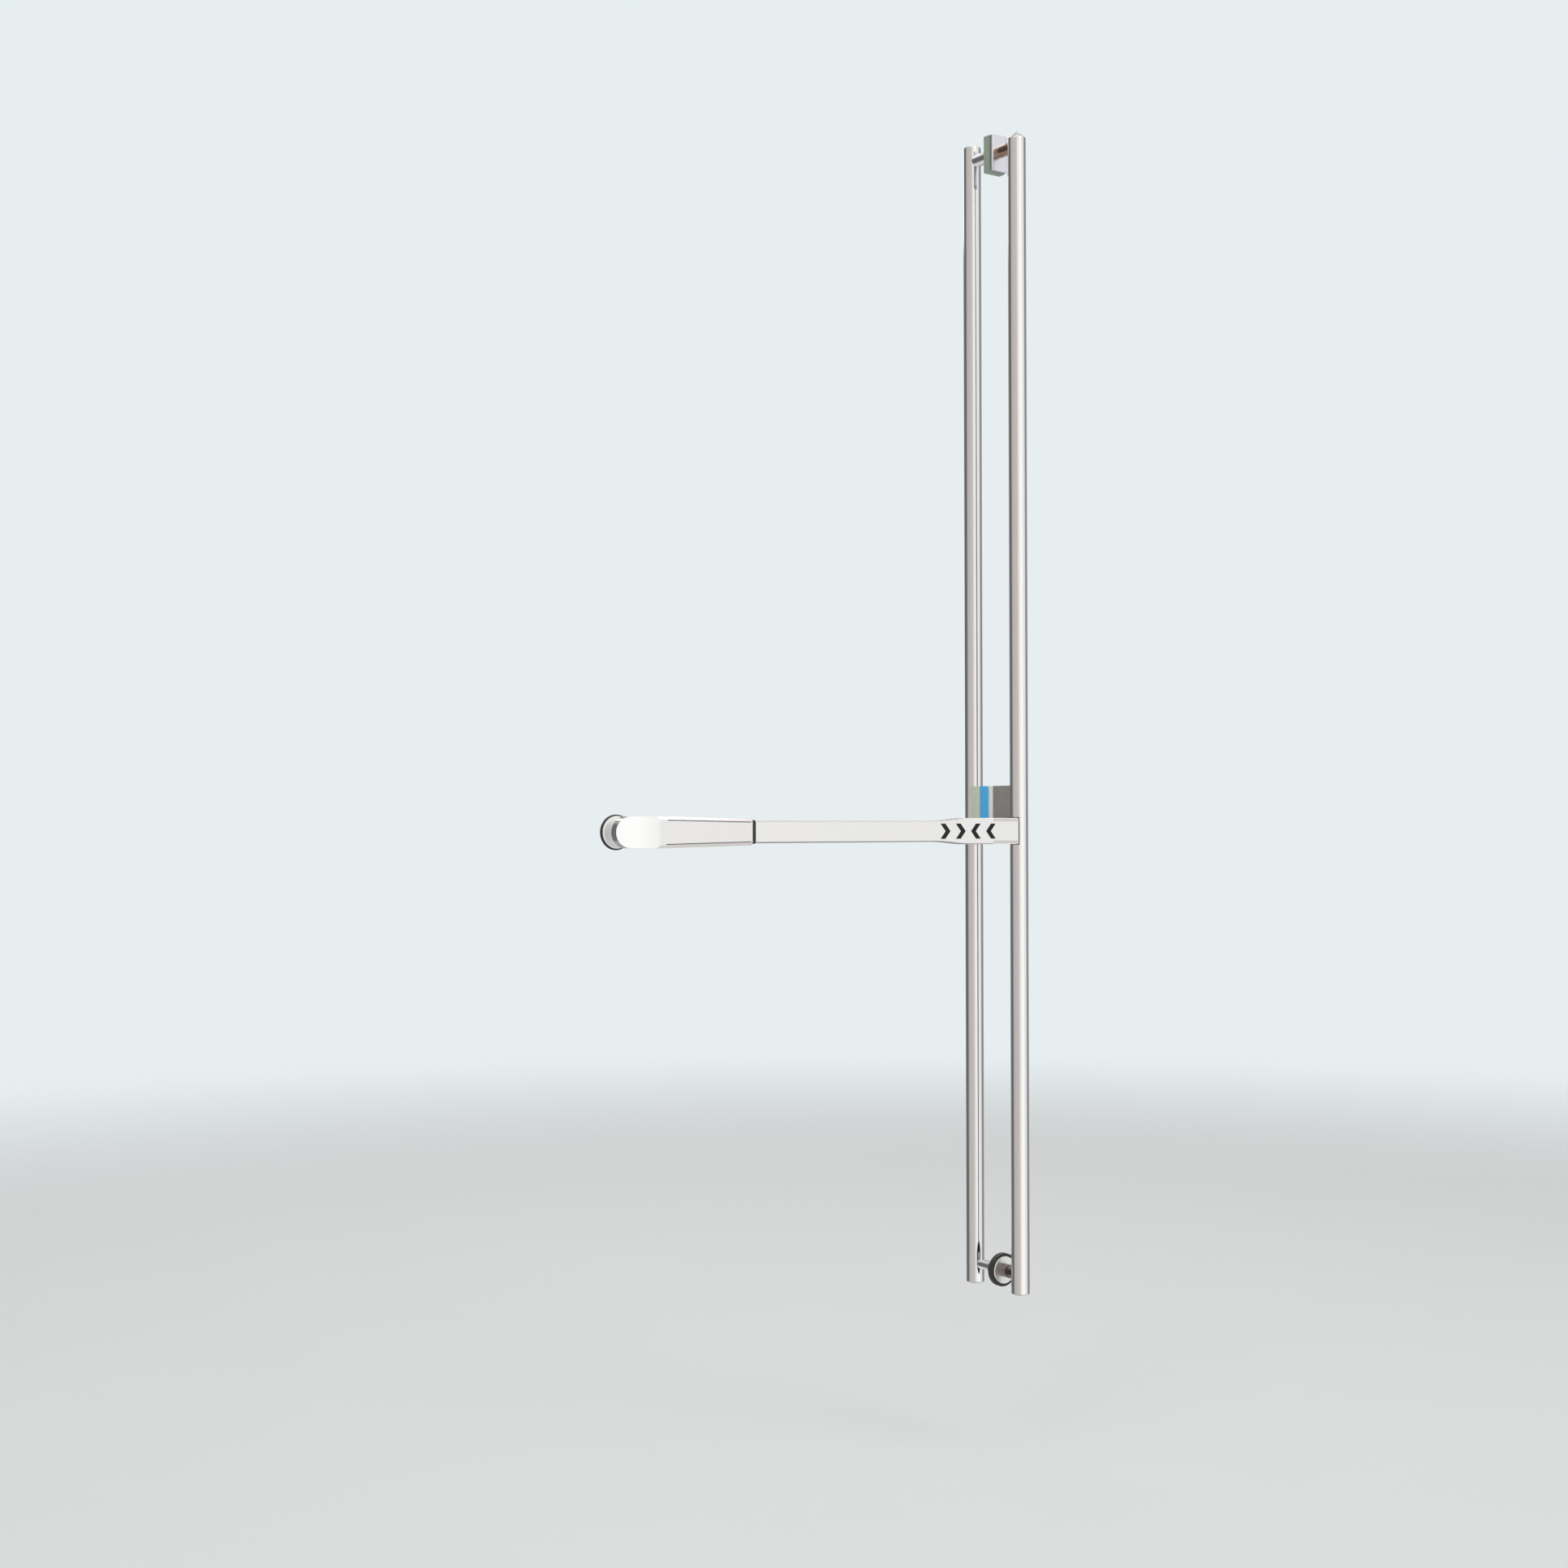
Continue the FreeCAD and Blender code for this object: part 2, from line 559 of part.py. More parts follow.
def operator_case():
    """Milled case between the tube and the glass, open at the back, with a screwed plate."""
    body = doc.addObject("PartDesign::Body", "operator_case_body")
    half, top = case_half, case_top
    front = latch_y + root(tube_r * tube_r - half * half) - 0.5
    sketch = new_sketch(body, "case_plan", "XY_Plane", case_low)
    outline(sketch, [(-half, front), (half, front), (half, plate_front), (-half, plate_front)])
    extrude(body, "Pad", "case_block", sketch, top - case_low)

    sketch = new_sketch(body, "case_hollow_plan", "XZ_Plane", plate_front)
    inside = half - case_wall
    outline(sketch, [(-inside, case_low + 3), (inside, case_low + 3), (inside, top - 3), (-inside, top - 3)])
    extrude(body, "Pocket", "case_hollow", sketch, plate_front - case_web, reverse=True)

    sketch = new_sketch(body, "case_saddle_plan", "XY_Plane", case_low)
    circle(sketch, 0, latch_y, tube_r)
    extrude(body, "Pocket", "case_saddle", sketch, top - case_low, reverse=True)

    sketch = new_sketch(body, "case_relief_plan", "XY_Plane", case_low)
    left, low, high = -half - 1, front - 1, bar_rear + 12
    outline(sketch, [(left, low), (window_x, low), (window_x, high), (left, high)])
    extrude(body, "Pocket", "case_bar_relief", sketch, window_half - case_low, reverse=True)

    sketch = new_sketch(body, "case_slot_plan", "XZ_Plane", plate_front)
    outline(sketch, [
        (-slot_half, slot_low), (slot_half, slot_low), (slot_half, slot_high), (-slot_half, slot_high)])
    extrude(body, "Pocket", "case_crank_slot", sketch, plate_front - latch_y, reverse=True)

    sketch = new_sketch(body, "case_pin_plan", "YZ_Plane", half)
    circle(sketch, pivot_y, pivot_z, pin_r)
    extrude(body, "Pocket", "case_pin_hole", sketch, half * 2 - 1.5)

    sketch = new_sketch(body, "case_screw_plan", "XZ_Plane", plate_front)
    for level in screw_levels.values():
        circle(sketch, 0, level, case_screw_r)
    extrude(body, "Pocket", "case_screw_holes", sketch, plate_front - latch_y, reverse=True)

    corner_x, screws = half - 2.1, []
    corner_low, corner_high = case_low + 4, top - 5
    sketch = new_sketch(body, "case_corner_plan", "XZ_Plane", plate_front)
    for across in (-corner_x, corner_x):
        for level in (corner_low, corner_high):
            circle(sketch, across, level, corner_r)
    extrude(body, "Pocket", "case_corner_holes", sketch, 9, reverse=True)
    keep(body, "operator_case")

    plate = block("case_plate_blank", (-half, plate_front, case_low), (half, inner_seat, top))
    holes = [bar("case_plate_stud_hole", "y", (0, 0), plate_front - 1, inner_seat + 1, heavy_stud_r)]
    for index, across in enumerate((-corner_x, corner_x)):
        for row, level in enumerate((corner_low, corner_high)):
            name = f"corner_{index}{row}"
            sink = inner_seat - 1.0
            holes.append(bar(name + "_hole", "y", (across, level), plate_front - 1, inner_seat, corner_r))
            holes.append(taper(name + "_sink", "y", (across, level), sink, inner_seat, corner_r, 2.05))
            shank = bar(name + "_shank", "y", (across, level), plate_front - 8, inner_seat - 0.5, corner_r)
            head = taper(name + "_head", "y", (across, level), sink, inner_seat, corner_r, 2.05)
            screws.append(fuse(name + "_screw", [shank, head]))
    keep(cut("case_plate_solid", plate, holes), "case_back_plate")
    keep(group("case_plate_screw_set", screws), "case_plate_screws")

    long_screws = []
    for name, level in screw_levels.items():
        across, tip = (0, level), latch_y + rod_r + 2
        shank = bar("case_screw_shank_" + name, "y", across, tip, case_web + 1, case_screw_r)
        head = bar("case_screw_head_" + name, "y", across, case_web, case_web + 3.5, 4.2)
        key = bar("case_screw_key_" + name, "y", across, case_web + 1.5, case_web + 4, 2)
        screw = fuse("case_screw_blank_" + name, [shank, head])
        long_screws.append(cut("case_screw_" + name, screw, [key]))
    keep(group("case_tube_screw_pair", long_screws), "case_tube_screws")


def outer_block():
    """Spacer through the glass, outer block and saddle that carry the pull tube's middle."""
    half, top = case_half, case_top
    spacer_half = half - 0.3
    lip_y = outer_seat - given.lip_deep
    spacer_top = top - 0.3
    spacer = block("spacer_block", (-spacer_half, inner_seat, spacer_low), (spacer_half, lip_y, spacer_top))
    keep(spacer, "glass_spacer")
    joint_y = outer_seat + 18.1
    blank = fuse("outer_block_blank", [
        block("outer_block_body", (-half, outer_seat, case_low), (half, joint_y, top)),
        block("outer_block_lip", (-spacer_half, lip_y, spacer_low),
              (spacer_half, outer_seat + 1, spacer_top))])
    holes = [bar("outer_block_stud_hole", "y", (0, 0), outer_seat - 1, outer_seat + 13, heavy_stud_r)]
    saddle_end = pull_y - root(tube_r * tube_r - half * half) + 0.5
    saddle = block("saddle_blank", (-half, joint_y, case_low), (half, saddle_end, top))
    saddle_holes = [bar("saddle_seat", "z", (0, pull_y), case_low - 1, top + 1, tube_r)]
    screws = []
    head_low, head_high = outer_seat + 1, outer_seat + 6
    tip = pull_y - tube_r + 10
    for name, level in screw_levels.items():
        holes.append(bar("block_sink_" + name, "y", (0, level), lip_y - 1, head_high, 5.2))
        holes.append(bar("block_hole_" + name, "y", (0, level), outer_seat, joint_y + 1, block_screw_r))
        saddle_hole = bar("saddle_hole_" + name, "y", (0, level), joint_y - 1, saddle_end, block_screw_r)
        saddle_holes.append(saddle_hole)
        head = bar("block_screw_head_" + name, "y", (0, level), head_low, head_high, 5)
        shank = bar("block_screw_shank_" + name, "y", (0, level), head_high - 1, tip, block_screw_r)
        screws.append(fuse("block_screw_" + name, [head, shank]))
    keep(cut("outer_block_solid", blank, holes), "outer_block")
    keep(cut("outer_saddle_solid", saddle, saddle_holes), "outer_saddle")
    keep(group("block_screw_pair", screws), "outer_block_screws")
    slug = bar("pull_anchor_blank", "z", (0, pull_y), case_low, top, slug_r)
    tapped = [
        bar("anchor_tapping_" + name, "y", (0, level), pull_y - tube_r, tip, block_screw_r)
        for name, level in screw_levels.items()
    ]
    keep(cut("pull_anchor_solid", slug, tapped), "pull_tube_anchor")


def push_bar():
    """Hollow bar with a flared, bevelled end at the tube and a recessed press-here mark."""
    body = doc.addObject("PartDesign::Body", "push_bar_body")
    half, end_half = given.bar_half, given.bar_end_half
    flare_end = bar_end - given.flare_set
    flare_start = flare_end - given.flare_long
    middle, half_way = (flare_start + flare_end) / 2, (half + end_half) / 2
    run, rise = flare_end - flare_start, end_half - half
    bend = (run * run + rise * rise) / (rise * 4)

    def side(shrink, start, end):
        """The bar's outline, drawn in by shrink, from start to end."""
        low, high = half - shrink, end_half - shrink
        mean = half_way - shrink
        return [
            (start, -low), (flare_start, -low), (middle, -mean, bend, -1), (flare_end, -high, bend, 1),
            (end, -high), (end, high), (flare_end, high), (middle, mean, bend, 1),
            (flare_start, low, bend, -1), (start, low)]

    sketch = new_sketch(body, "bar_outline", "XZ_Plane", bar_rear)
    outline(sketch, side(0, bar_start, bar_end))
    pad = extrude(body, "Pad", "bar_solid", sketch, given.bar_depth)
    dress(body, "Chamfer", "bar_edge", pad, face_edges(bar_start), given.bar_edge)

    sketch = new_sketch(body, "bar_hollow_outline", "XZ_Plane", bar_rear)
    outline(sketch, side(2.5, bar_start + 3, bar_end - 3))
    extrude(body, "Pocket", "bar_hollow", sketch, given.bar_depth - given.bar_wall, reverse=True)

    sketch = new_sketch(body, "bar_neck_holes", "XZ_Plane", bar_rear)
    for left, right, up in (
        (bar_start - 1, bar_start + 4, web_half + 0.3),
        (bar_end - 4, bar_end + 1, tongue_half + 0.2),
    ):
        outline(sketch, [(left, -up), (right, -up), (right, up), (left, up)])
    extrude(body, "Pocket", "bar_necks", sketch, given.bar_depth - given.bar_wall, reverse=True)

    bevel_low, bevel_rear = end_half - given.bevel_up, bar_front + given.bevel_in
    sketch = new_sketch(body, "bar_bevel_profile", "YZ_Plane", bar_end + 1)
    for sign in (1, -1):
        outline(sketch, [
            (bar_front - 1, (end_half + 1) * sign), (bar_front - 1, bevel_low * sign),
            (bar_front, bevel_low * sign), (bevel_rear, (end_half - 1.2) * sign),
            (bevel_rear, (end_half + 1) * sign)])
    extrude(body, "Pocket", "bar_bevel", sketch, given.bevel_long + 1)

    sketch = new_sketch(body, "bar_mark_outline", "XZ_Plane", bar_front)
    chevrons(sketch)
    extrude(body, "Pocket", "bar_mark", sketch, given.mark_deep)

    sketch = new_sketch(body, "bar_dowel_plan", "XY_Plane", 0)
    for across in dowel_places():
        circle(sketch, across, dowel_y, dowel_r)
    extrude(body, "Pocket", "bar_dowel_holes", sketch, end_half + 1, both=True)
    keep(body, "push_bar")

    inlay("push_mark_infill", bar_front + given.mark_deep, given.mark_deep - 0.15, chevrons)


def inlay(node, level, length, draw):
    """Enamel let into recesses of a front face, just below it. draw makes the recesses' outlines."""
    body = doc.addObject("PartDesign::Body", node + "_body")
    sketch = new_sketch(body, node + "_outline", "XZ_Plane", level)
    draw(sketch)
    pad = body.newObject("PartDesign::Pad", node + "_solid")
    pad.Profile = sketch
    pad.AllowMultiFace = True
    bind(pad, "Length", length)
    body.AllowCompound = True
    keep(body, node)


def chevrons(sketch):
    """Four chevrons; the outer pairs point at the middle of the group."""
    half, stroke, width = given.mark_half, given.mark_stroke, given.mark_width
    for index, point in enumerate((1, 1, -1, -1)):
        start = bar_end - given.mark_set + given.mark_pitch * index
        if point < 0:
            start = start + width
        outline(sketch, [
            (start, half * -point), (start + stroke * point, half * -point),
            (start + width * point, width * 0), (start + stroke * point, half * point),
            (start, half * point), (start + (width - stroke) * point, width * 0)])


def dowel_places():
    return [bar_start + 13, bar_start + 28, bar_end - 36, bar_end - 20]


def bar_fittings():
    """Knuckle and tongue in the bar's two ends, their dowels, the pusher and the back plate."""
    neck_front, neck_back = bar_inside, bar_inside + 6.5
    web = block("knuckle_web", (hinge_x, neck_front, -web_half), (bar_start + 38, neck_back, web_half))
    pin_at = (hinge_x, hinge_y)
    barrel = bar("knuckle_barrel", "z", pin_at, -14.6, 14.6, knuckle_r)
    bore = bar("knuckle_bore", "z", pin_at, -20, 20, 4)
    places = dowel_places()
    holes = [bar(f"knuckle_dowel_hole_{i}", "z", (places[i], dowel_y), -14, 14, dowel_r) for i in (0, 1)]
    keep(cut("hinge_knuckle_solid", fuse("knuckle_blank", [web, barrel]), [bore] + holes), "hinge_knuckle")

    bushes = []
    for name, levels in (("upper", (5.0, 14.6, 16.0)), ("lower", (-5.0, -14.6, -16.0))):
        inner, face, outer = levels
        sleeve = bar(name + "_bush_sleeve", "z", pin_at, min(inner, face), max(inner, face), 4)
        flange = bar(name + "_bush_flange", "z", pin_at, min(face, outer), max(face, outer), knuckle_r)
        bore = bar(name + "_bush_bore", "z", pin_at, -20, 20, pin_r + running)
        bushes.append(cut(name + "_bush", fuse(name + "_bush_blank", [sleeve, flange]), [bore]))
    keep(group("hinge_bush_pair", bushes), "hinge_bushes")
    keep(bar("hinge_pin_bar", "z", pin_at, -pin_half, pin_half, pin_r), "hinge_pin")

    tongue = block("tongue_blank", (bar_end - 52, neck_front, -tongue_half), (5.5, neck_back, tongue_half))
    pusher_hole = bar("tongue_pusher_hole", "y", (0, 0), neck_front - 1, neck_back + 1, 3.5)
    holes = [bar(f"tongue_dowel_hole_{i}", "z", (places[i], dowel_y), -9, 9, dowel_r) for i in (2, 3)]
    keep(cut("bar_tongue_solid", tongue, [pusher_hole] + holes), "bar_tongue")
    tip_end = pivot_y - nose_r - 0.5
    keep(bar("pusher_stem", "y", (0, 0), neck_front, tip_end - 4, 3.5), "pusher_pin")
    keep(bar("pusher_nylon", "y", (0, 0), tip_end - 4, tip_end, 4.5), "pusher_tip")

    dowels = []
    for index, across in enumerate(places):
        reach = (given.bar_half if index < 2 else given.bar_end_half) - 0.4
        dowels.append(bar(f"dowel_{index}", "z", (across, dowel_y), -reach, reach, dowel_r))
    keep(group("dowel_set", dowels), "bar_dowels")

    plate_half = given.bar_half - 2.5
    plate = block("bar_plate", (bar_start + 42, bar_rear - 2, -plate_half),
                  (bar_end - 56, bar_rear, plate_half))
    keep(plate, "bar_back_plate")


def arm_lines(sketch):
    """The two long grooves beside the arm's bevels."""
    line_end = arm_end - 2
    slope = (given.boss_half - given.arm_half) / (arm_end - flat_start)
    for sign, inset in ((1, 12), (-1, 10)):
        top_here = given.boss_half - given.arm_edge_up - 0.15
        left_up, right_up = top_here - slope * inset, top_here - slope * (line_end - flat_start)
        outline(sketch, [
            (flat_start + inset, left_up * sign), (line_end, right_up * sign),
            (line_end, (right_up - given.arm_line) * sign),
            (flat_start + inset, (left_up - given.arm_line) * sign)])


def fixed_arm():
    """Hollow arm from the boss to the joint, swept back to its round end at the boss."""
    body = doc.addObject("PartDesign::Body", "fixed_arm_body")
    big, small = given.boss_half, given.arm_half
    sketch = new_sketch(body, "arm_outline", "XZ_Plane", bar_rear)
    outline(sketch, [
        (boss_x, big, big, -1), (flat_start, big), (arm_end, small), (arm_end, -small),
        (flat_start, -big), (boss_x, -big), (boss_x - big, 0, big, -1)])
    pad = extrude(body, "Pad", "arm_solid", sketch, given.bar_depth)
    edge = dress(body, "Chamfer", "arm_edge", pad, face_edges(arm_end), given.arm_edge_in)
    edge.ChamferType = "Two distances"
    bind(edge, "Size2", given.arm_edge_up)

    sketch = new_sketch(body, "arm_line_outline", "XZ_Plane", bar_front)
    arm_lines(sketch)
    extrude(body, "Pocket", "arm_grooves", sketch, given.line_deep)
    inlay("arm_line_inlays", bar_front + given.line_deep, given.line_deep - 0.15, arm_lines)

    sketch = new_sketch(body, "arm_root_outline", "XZ_Plane", root_y)
    circle(sketch, boss_x, 0, big)
    extrude(body, "Pad", "arm_root", sketch, given.root_deep + 0.5)
    back_x = boss_x - big - 2
    sketch = new_sketch(body, "arm_sweep_plan", "XY_Plane", 0)
    outline(sketch, [
        (back_x, bar_front - 2), (flat_start, bar_front - 2), (flat_start, bar_front),
        (back_x, bar_front + given.sweep_drop, given.sweep_radius, 1)])
    extrude(body, "Pocket", "arm_sweep", sketch, big + 2, both=True)

    inner_big, inner_small = big - 3, given.bar_half + 0.3
    sketch = new_sketch(body, "arm_hollow_outline", "XZ_Plane", bar_rear)
    outline(sketch, [
        (flat_start + 8, -inner_big), (arm_end + 1, -inner_small), (arm_end + 1, inner_small),
        (flat_start + 8, inner_big)])
    extrude(body, "Pocket", "arm_hollow", sketch, given.bar_depth - given.bar_wall + 0.2, reverse=True)

    sketch = new_sketch(body, "arm_pin_plan", "XY_Plane", 0)
    circle(sketch, hinge_x, hinge_y, pin_r)
    extrude(body, "Pocket", "arm_pin_hole", sketch, pin_half, both=True)

    sketch = new_sketch(body, "arm_stud_outline", "XZ_Plane", root_y)
    circle(sketch, boss_x, 0, heavy_stud_r)
    extrude(body, "Pocket", "arm_stud_hole", sketch, 16, reverse=True)
    keep(body, "fixed_arm")

    cover = doc.addObject("PartDesign::Body", "arm_plate_body")
    left, right, hollow_end = flat_start + 8, hinge_x - 12, arm_end + 1
    slope = (inner_big - inner_small) / (hollow_end - left)
    right_half = inner_small + slope * (hollow_end - right)
    sketch = new_sketch(cover, "arm_plate_outline", "XZ_Plane", bar_rear)
    outline(sketch, [(left, -inner_big), (right, -right_half), (right, right_half), (left, inner_big)])
    extrude(cover, "Pad", "arm_plate", sketch, 2)
    keep(cover, "arm_back_plate")

    wide = given.bar_half + 0.9
    rubber = block("joint_rubber", (arm_end, bar_front + 0.5, -wide), (bar_start - 0.9, bar_rear, wide))
    passage = block("joint_passage", (arm_end - 1, bar_inside - 0.4, -15), (bar_start, bar_rear + 1, 15))
    keep(cut("joint_gasket_solid", rubber, [passage]), "joint_gasket")


def boss():
    """Flange in its rubber seal, boss body, through stud and outer rosette, at the hinge side."""
    foot_r = given.foot_dia / 2
    across = (boss_x, 0)
    bore = heavy_stud_r
    face = inner_seat - 4.7
    rim_r = foot_r - given.seal_wide
    turned("boss_flange", across, [
        (bore, inner_seat), (bore, face), (rim_r, face), (rim_r, inner_seat)])
    turned("boss_seal", across, [
        (rim_r, inner_seat), (rim_r, face + 0.2), (foot_r, face + 2.2), (foot_r, inner_seat)])
    body_r = given.boss_half - 1
    turned("boss_body", across, [
        (bore, face), (bore, root_y), (body_r - 1.6, root_y), (body_r - 1.6, root_y + 1.8),
        (body_r, root_y + 1.8), (body_r, face)])
    stud_tip = root_y - 15
    turned("boss_stud", across, stud_profile(heavy_stud_r, stud_tip, outer_seat + 8))
    dome = outer_seat + 10
    rosette_r = given.rosette_dia / 2
    turned("outer_rosette", across, [
        (bore, outer_seat), (rosette_r, outer_seat), (rosette_r, outer_seat + 7),
        (rosette_r - 3, dome, 3, 1), (0, dome), (0, outer_seat + 8), (bore, outer_seat + 8)])


def stud_profile(thread_r, inner_tip, outer_tip):
    """Half section of a through stud: a barrel in the glass and a thread to each side."""
    return [
        (0, inner_tip), (thread_r, inner_tip), (thread_r, inner_seat), (barrel_r, inner_seat),
        (barrel_r, outer_seat), (thread_r, outer_seat), (thread_r, outer_tip), (0, outer_tip)]


def gaskets():
    """Rings and pads between metal and glass, inside and outside."""
    def ring(name, across, start, outer_r):
        disc = bar(name + "_disc", "y", across, start, start + given.gasket_thick, outer_r)
        hole = bar(name + "_hole", "y", across, start - 1, start + (given.gasket_thick + 1), gasket_bore)
        return cut(name, disc, [hole])

    for node, start, boss_r, bottom_r in (
        ("inner_gaskets", inner_seat, given.foot_dia / 2 - 0.6, given.bumper_dia / 2 - 1),
        ("outer_gaskets", given.glass_thick, given.rosette_dia / 2 - 0.3, 13),
    ):
        pad_half = case_half - 0.3
        pad = block(node + "_pad_blank", (-pad_half, start, case_low + 0.3),
                    (pad_half, start + given.gasket_thick, spacer_low - 1))
        hole = bar(node + "_pad_hole", "y", (0, 0), start - 1, start + (given.gasket_thick + 1), gasket_bore)
        keep(group(node + "_set", [
            ring(node + "_boss", (boss_x, 0), start, boss_r),
            ring(node + "_bottom", (0, bottom_z), start, bottom_r),
            cut(node + "_pad", pad, [hole]),
        ]), node)
    turned("mid_stud", (0, 0), stud_profile(heavy_stud_r, plate_front, outer_seat + 12.5))


def top_fittings():
    """Block in the notch of the leaf's top edge, its liner, both top posts and their stud."""
    half = given.block_half
    high = top_z + given.block_over
    low = high - given.block_height
    front = -given.block_proud
    body = doc.addObject("PartDesign::Body", "top_block_body")
    sketch = new_sketch(body, "top_block_plan", "XY_Plane", low)
    outline(sketch, [(-half, front), (half, front), (half, given.glass_thick), (-half, given.glass_thick)])
    pad = extrude(body, "Pad", "top_block_solid", sketch, given.block_height)

    def front_corner(edge):
        box = edge.BoundBox
        return box.ZMax - box.ZMin > 10 and box.YMax < 0
    rounded = dress(body, "Fillet", "top_block_corner", pad, front_corner, 2.5)
    dress(body, "Chamfer", "top_block_edge", rounded, lies_on("z", high), 0.6)
    sketch = new_sketch(body, "top_block_stud_plan", "XZ_Plane", given.glass_thick)
    circle(sketch, 0, top_z, stud_r)
    through = given.glass_thick + given.block_proud
    extrude(body, "Pocket", "top_block_stud_hole", sketch, through, reverse=True)
    keep(body, "top_block")

    lined = half + given.gasket_thick
    liner = block("liner_blank", (-lined, 0, low - given.gasket_thick), (lined, given.glass_thick, high))
    room = block("liner_room", (-half, -1, low), (half, given.glass_thick + 1, high + 1))
    keep(cut("notch_liner_solid", liner, [room]), "notch_liner")

    keep(inner_post("top_post", top_z, top_post_r, front), "top_post")
    keep(outer_post("pull_top_post", top_z, top_post_r, given.glass_thick, []), "pull_top_post")
    stud = bar("top_stud_bar", "y", (0, top_z), latch_y + bolt_r + 1, pull_y - bolt_r, stud_r)
    keep(stud, "top_stud")


def inner_post(name, level, radius, foot):
    """A post from the latch tube to its foot, coped to the tube, with a grub-screw hole."""
    blank = bar(name + "_blank", "y", (0, level), latch_y, foot, radius)
    cope = bar(name + "_cope", "z", (0, latch_y), level - 30, level + 30, tube_r)
    bore = bar(name + "_bore", "y", (0, level), latch_y, foot + 1, stud_r)
    grub = bar(name + "_grub_hole", "z", (0, foot - 8), level - radius - 1, level - stud_r, post_grub_r)
    return cut(name + "_solid", blank, [cope, bore, grub])


def outer_post(name, level, radius, foot, extra):
    """A post from the glass to the pull tube, coped to the tube."""
    blank = bar(name + "_blank", "y", (0, level), foot, pull_y, radius)
    cope = bar(name + "_cope", "z", (0, pull_y), level - 30, level + 30, tube_r)
    bore = bar(name + "_bore", "y", (0, level), foot - 1, pull_y, stud_r)
    if extra:
        blank = fuse(name + "_flanged", [blank] + extra)
    return cut(name + "_solid", blank, [cope, bore])


def bottom_fittings():
    """Collar with its bumper ring, both bottom posts, and their stud."""
    across = (0, bottom_z)
    collar_r, bumper_r = given.collar_dia / 2, given.bumper_dia / 2
    face = inner_seat - 10.8
    turned("bottom_collar", across, [
        (stud_r, inner_seat), (stud_r, face), (collar_r - 1, face), (collar_r, face + 1),
        (collar_r, inner_seat)])
    turned("bumper_ring", across, [
        (collar_r, inner_seat), (collar_r, face + 1.6), (bumper_r - 1.5, face + 1.6),
        (bumper_r, face + 3.1, 1.5, 1), (bumper_r, inner_seat)])
    keep(inner_post("bottom_post", bottom_z, bottom_post_r, face), "bottom_post")
    flange = bar("pull_bottom_flange", "y", across, outer_seat, outer_seat + 2.5, 13)
    keep(outer_post("pull_bottom_post", bottom_z, 7.5, outer_seat, [flange]), "pull_bottom_post")
    turned("bottom_stud", across, stud_profile(stud_r, latch_y + plug_stud_end, pull_y - plug_stud_end))

    grubs = []
    for name, level, radius, foot in (
        ("top", top_z, top_post_r, -given.block_proud),
        ("bottom", bottom_z, bottom_post_r, face),
    ):
        low = level - radius + grub_sunk
        grubs.append(bar(name + "_post_grub", "z", (0, foot - 8), low, level - stud_r, post_grub_r))
    keep(group("post_grub_pair", grubs), "post_grub_screws")


def pull_tube():
    """The outside tube with its stud holes, and the flat plugs in its two ends."""
    high = pull_top - cap_plate
    low = tube_low + cap_plate
    outer = bar("pull_tube_outside", "z", (0, pull_y), low, high, tube_r)
    bore = bar("pull_tube_bore", "z", (0, pull_y), low - 1, high + 1, tube_bore)
    holes = [
        bar(f"pull_stud_hole_{index}", "y", (0, level), pull_y - tube_r - 1, pull_y, stud_r)
        for index, level in enumerate((top_z, bottom_z))
    ]
    holes += [
        bar("anchor_screw_hole_" + name, "y", (0, level), pull_y - tube_r - 1, pull_y, block_screw_r)
        for name, level in screw_levels.items()
    ]
    keep(cut("pull_tube_solid", outer, [bore] + holes), "pull_tube")
    top = plug_cap("pull_top_plug", pull_y, pull_top, high, top_z - 16, 1)
    bottom = plug_cap("pull_bottom_plug", pull_y, tube_low, low, bottom_z + 14, 1)
    reach = {"top": pull_y - bolt_r, "bottom": pull_y - plug_stud_end}
    plugs = []
    for name, plug, level in (("top", top, top_z), ("bottom", bottom, bottom_z)):
        hole = bar(f"pull_{name}_plug_hole", "y", (0, level), pull_y - tube_r, reach[name], stud_r)
        plugs.append(cut(f"pull_{name}_plug_solid", plug, [hole]))
    keep(group("pull_plug_pair", plugs), "pull_tube_plugs")


latch_tube()
latch_tube_caps()
latch_gear()
rod_guides()
crank()
operator_case()
outer_block()
push_bar()
bar_fittings()
fixed_arm()
boss()
gaskets()
top_fittings()
bottom_fittings()
pull_tube()
doc.recompute()

faults = [
    f"{item.Name} ({item.Label}): {item.State}"
    for item in doc.Objects
    if {"Invalid", "Error"} & set(item.State)
]
for node, item in kept.items():
    shape = item.Shape
    if shape.isNull() or not shape.isValid() or not shape.Solids:
        faults.append(f"{node}: no valid solid")
if faults:
    raise RuntimeError("\n".join(faults))

os.makedirs("parts", exist_ok=True)
for node, item in kept.items():
    item.Shape.exportStep(f"parts/{node}.step")
    print(f"{node}: {len(item.Shape.Solids)} solid(s), {item.Shape.Volume:.0f} mm3")
print(len(kept), "nodes")
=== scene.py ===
import math
import bmesh
import bpy
from mathutils import Matrix, Vector


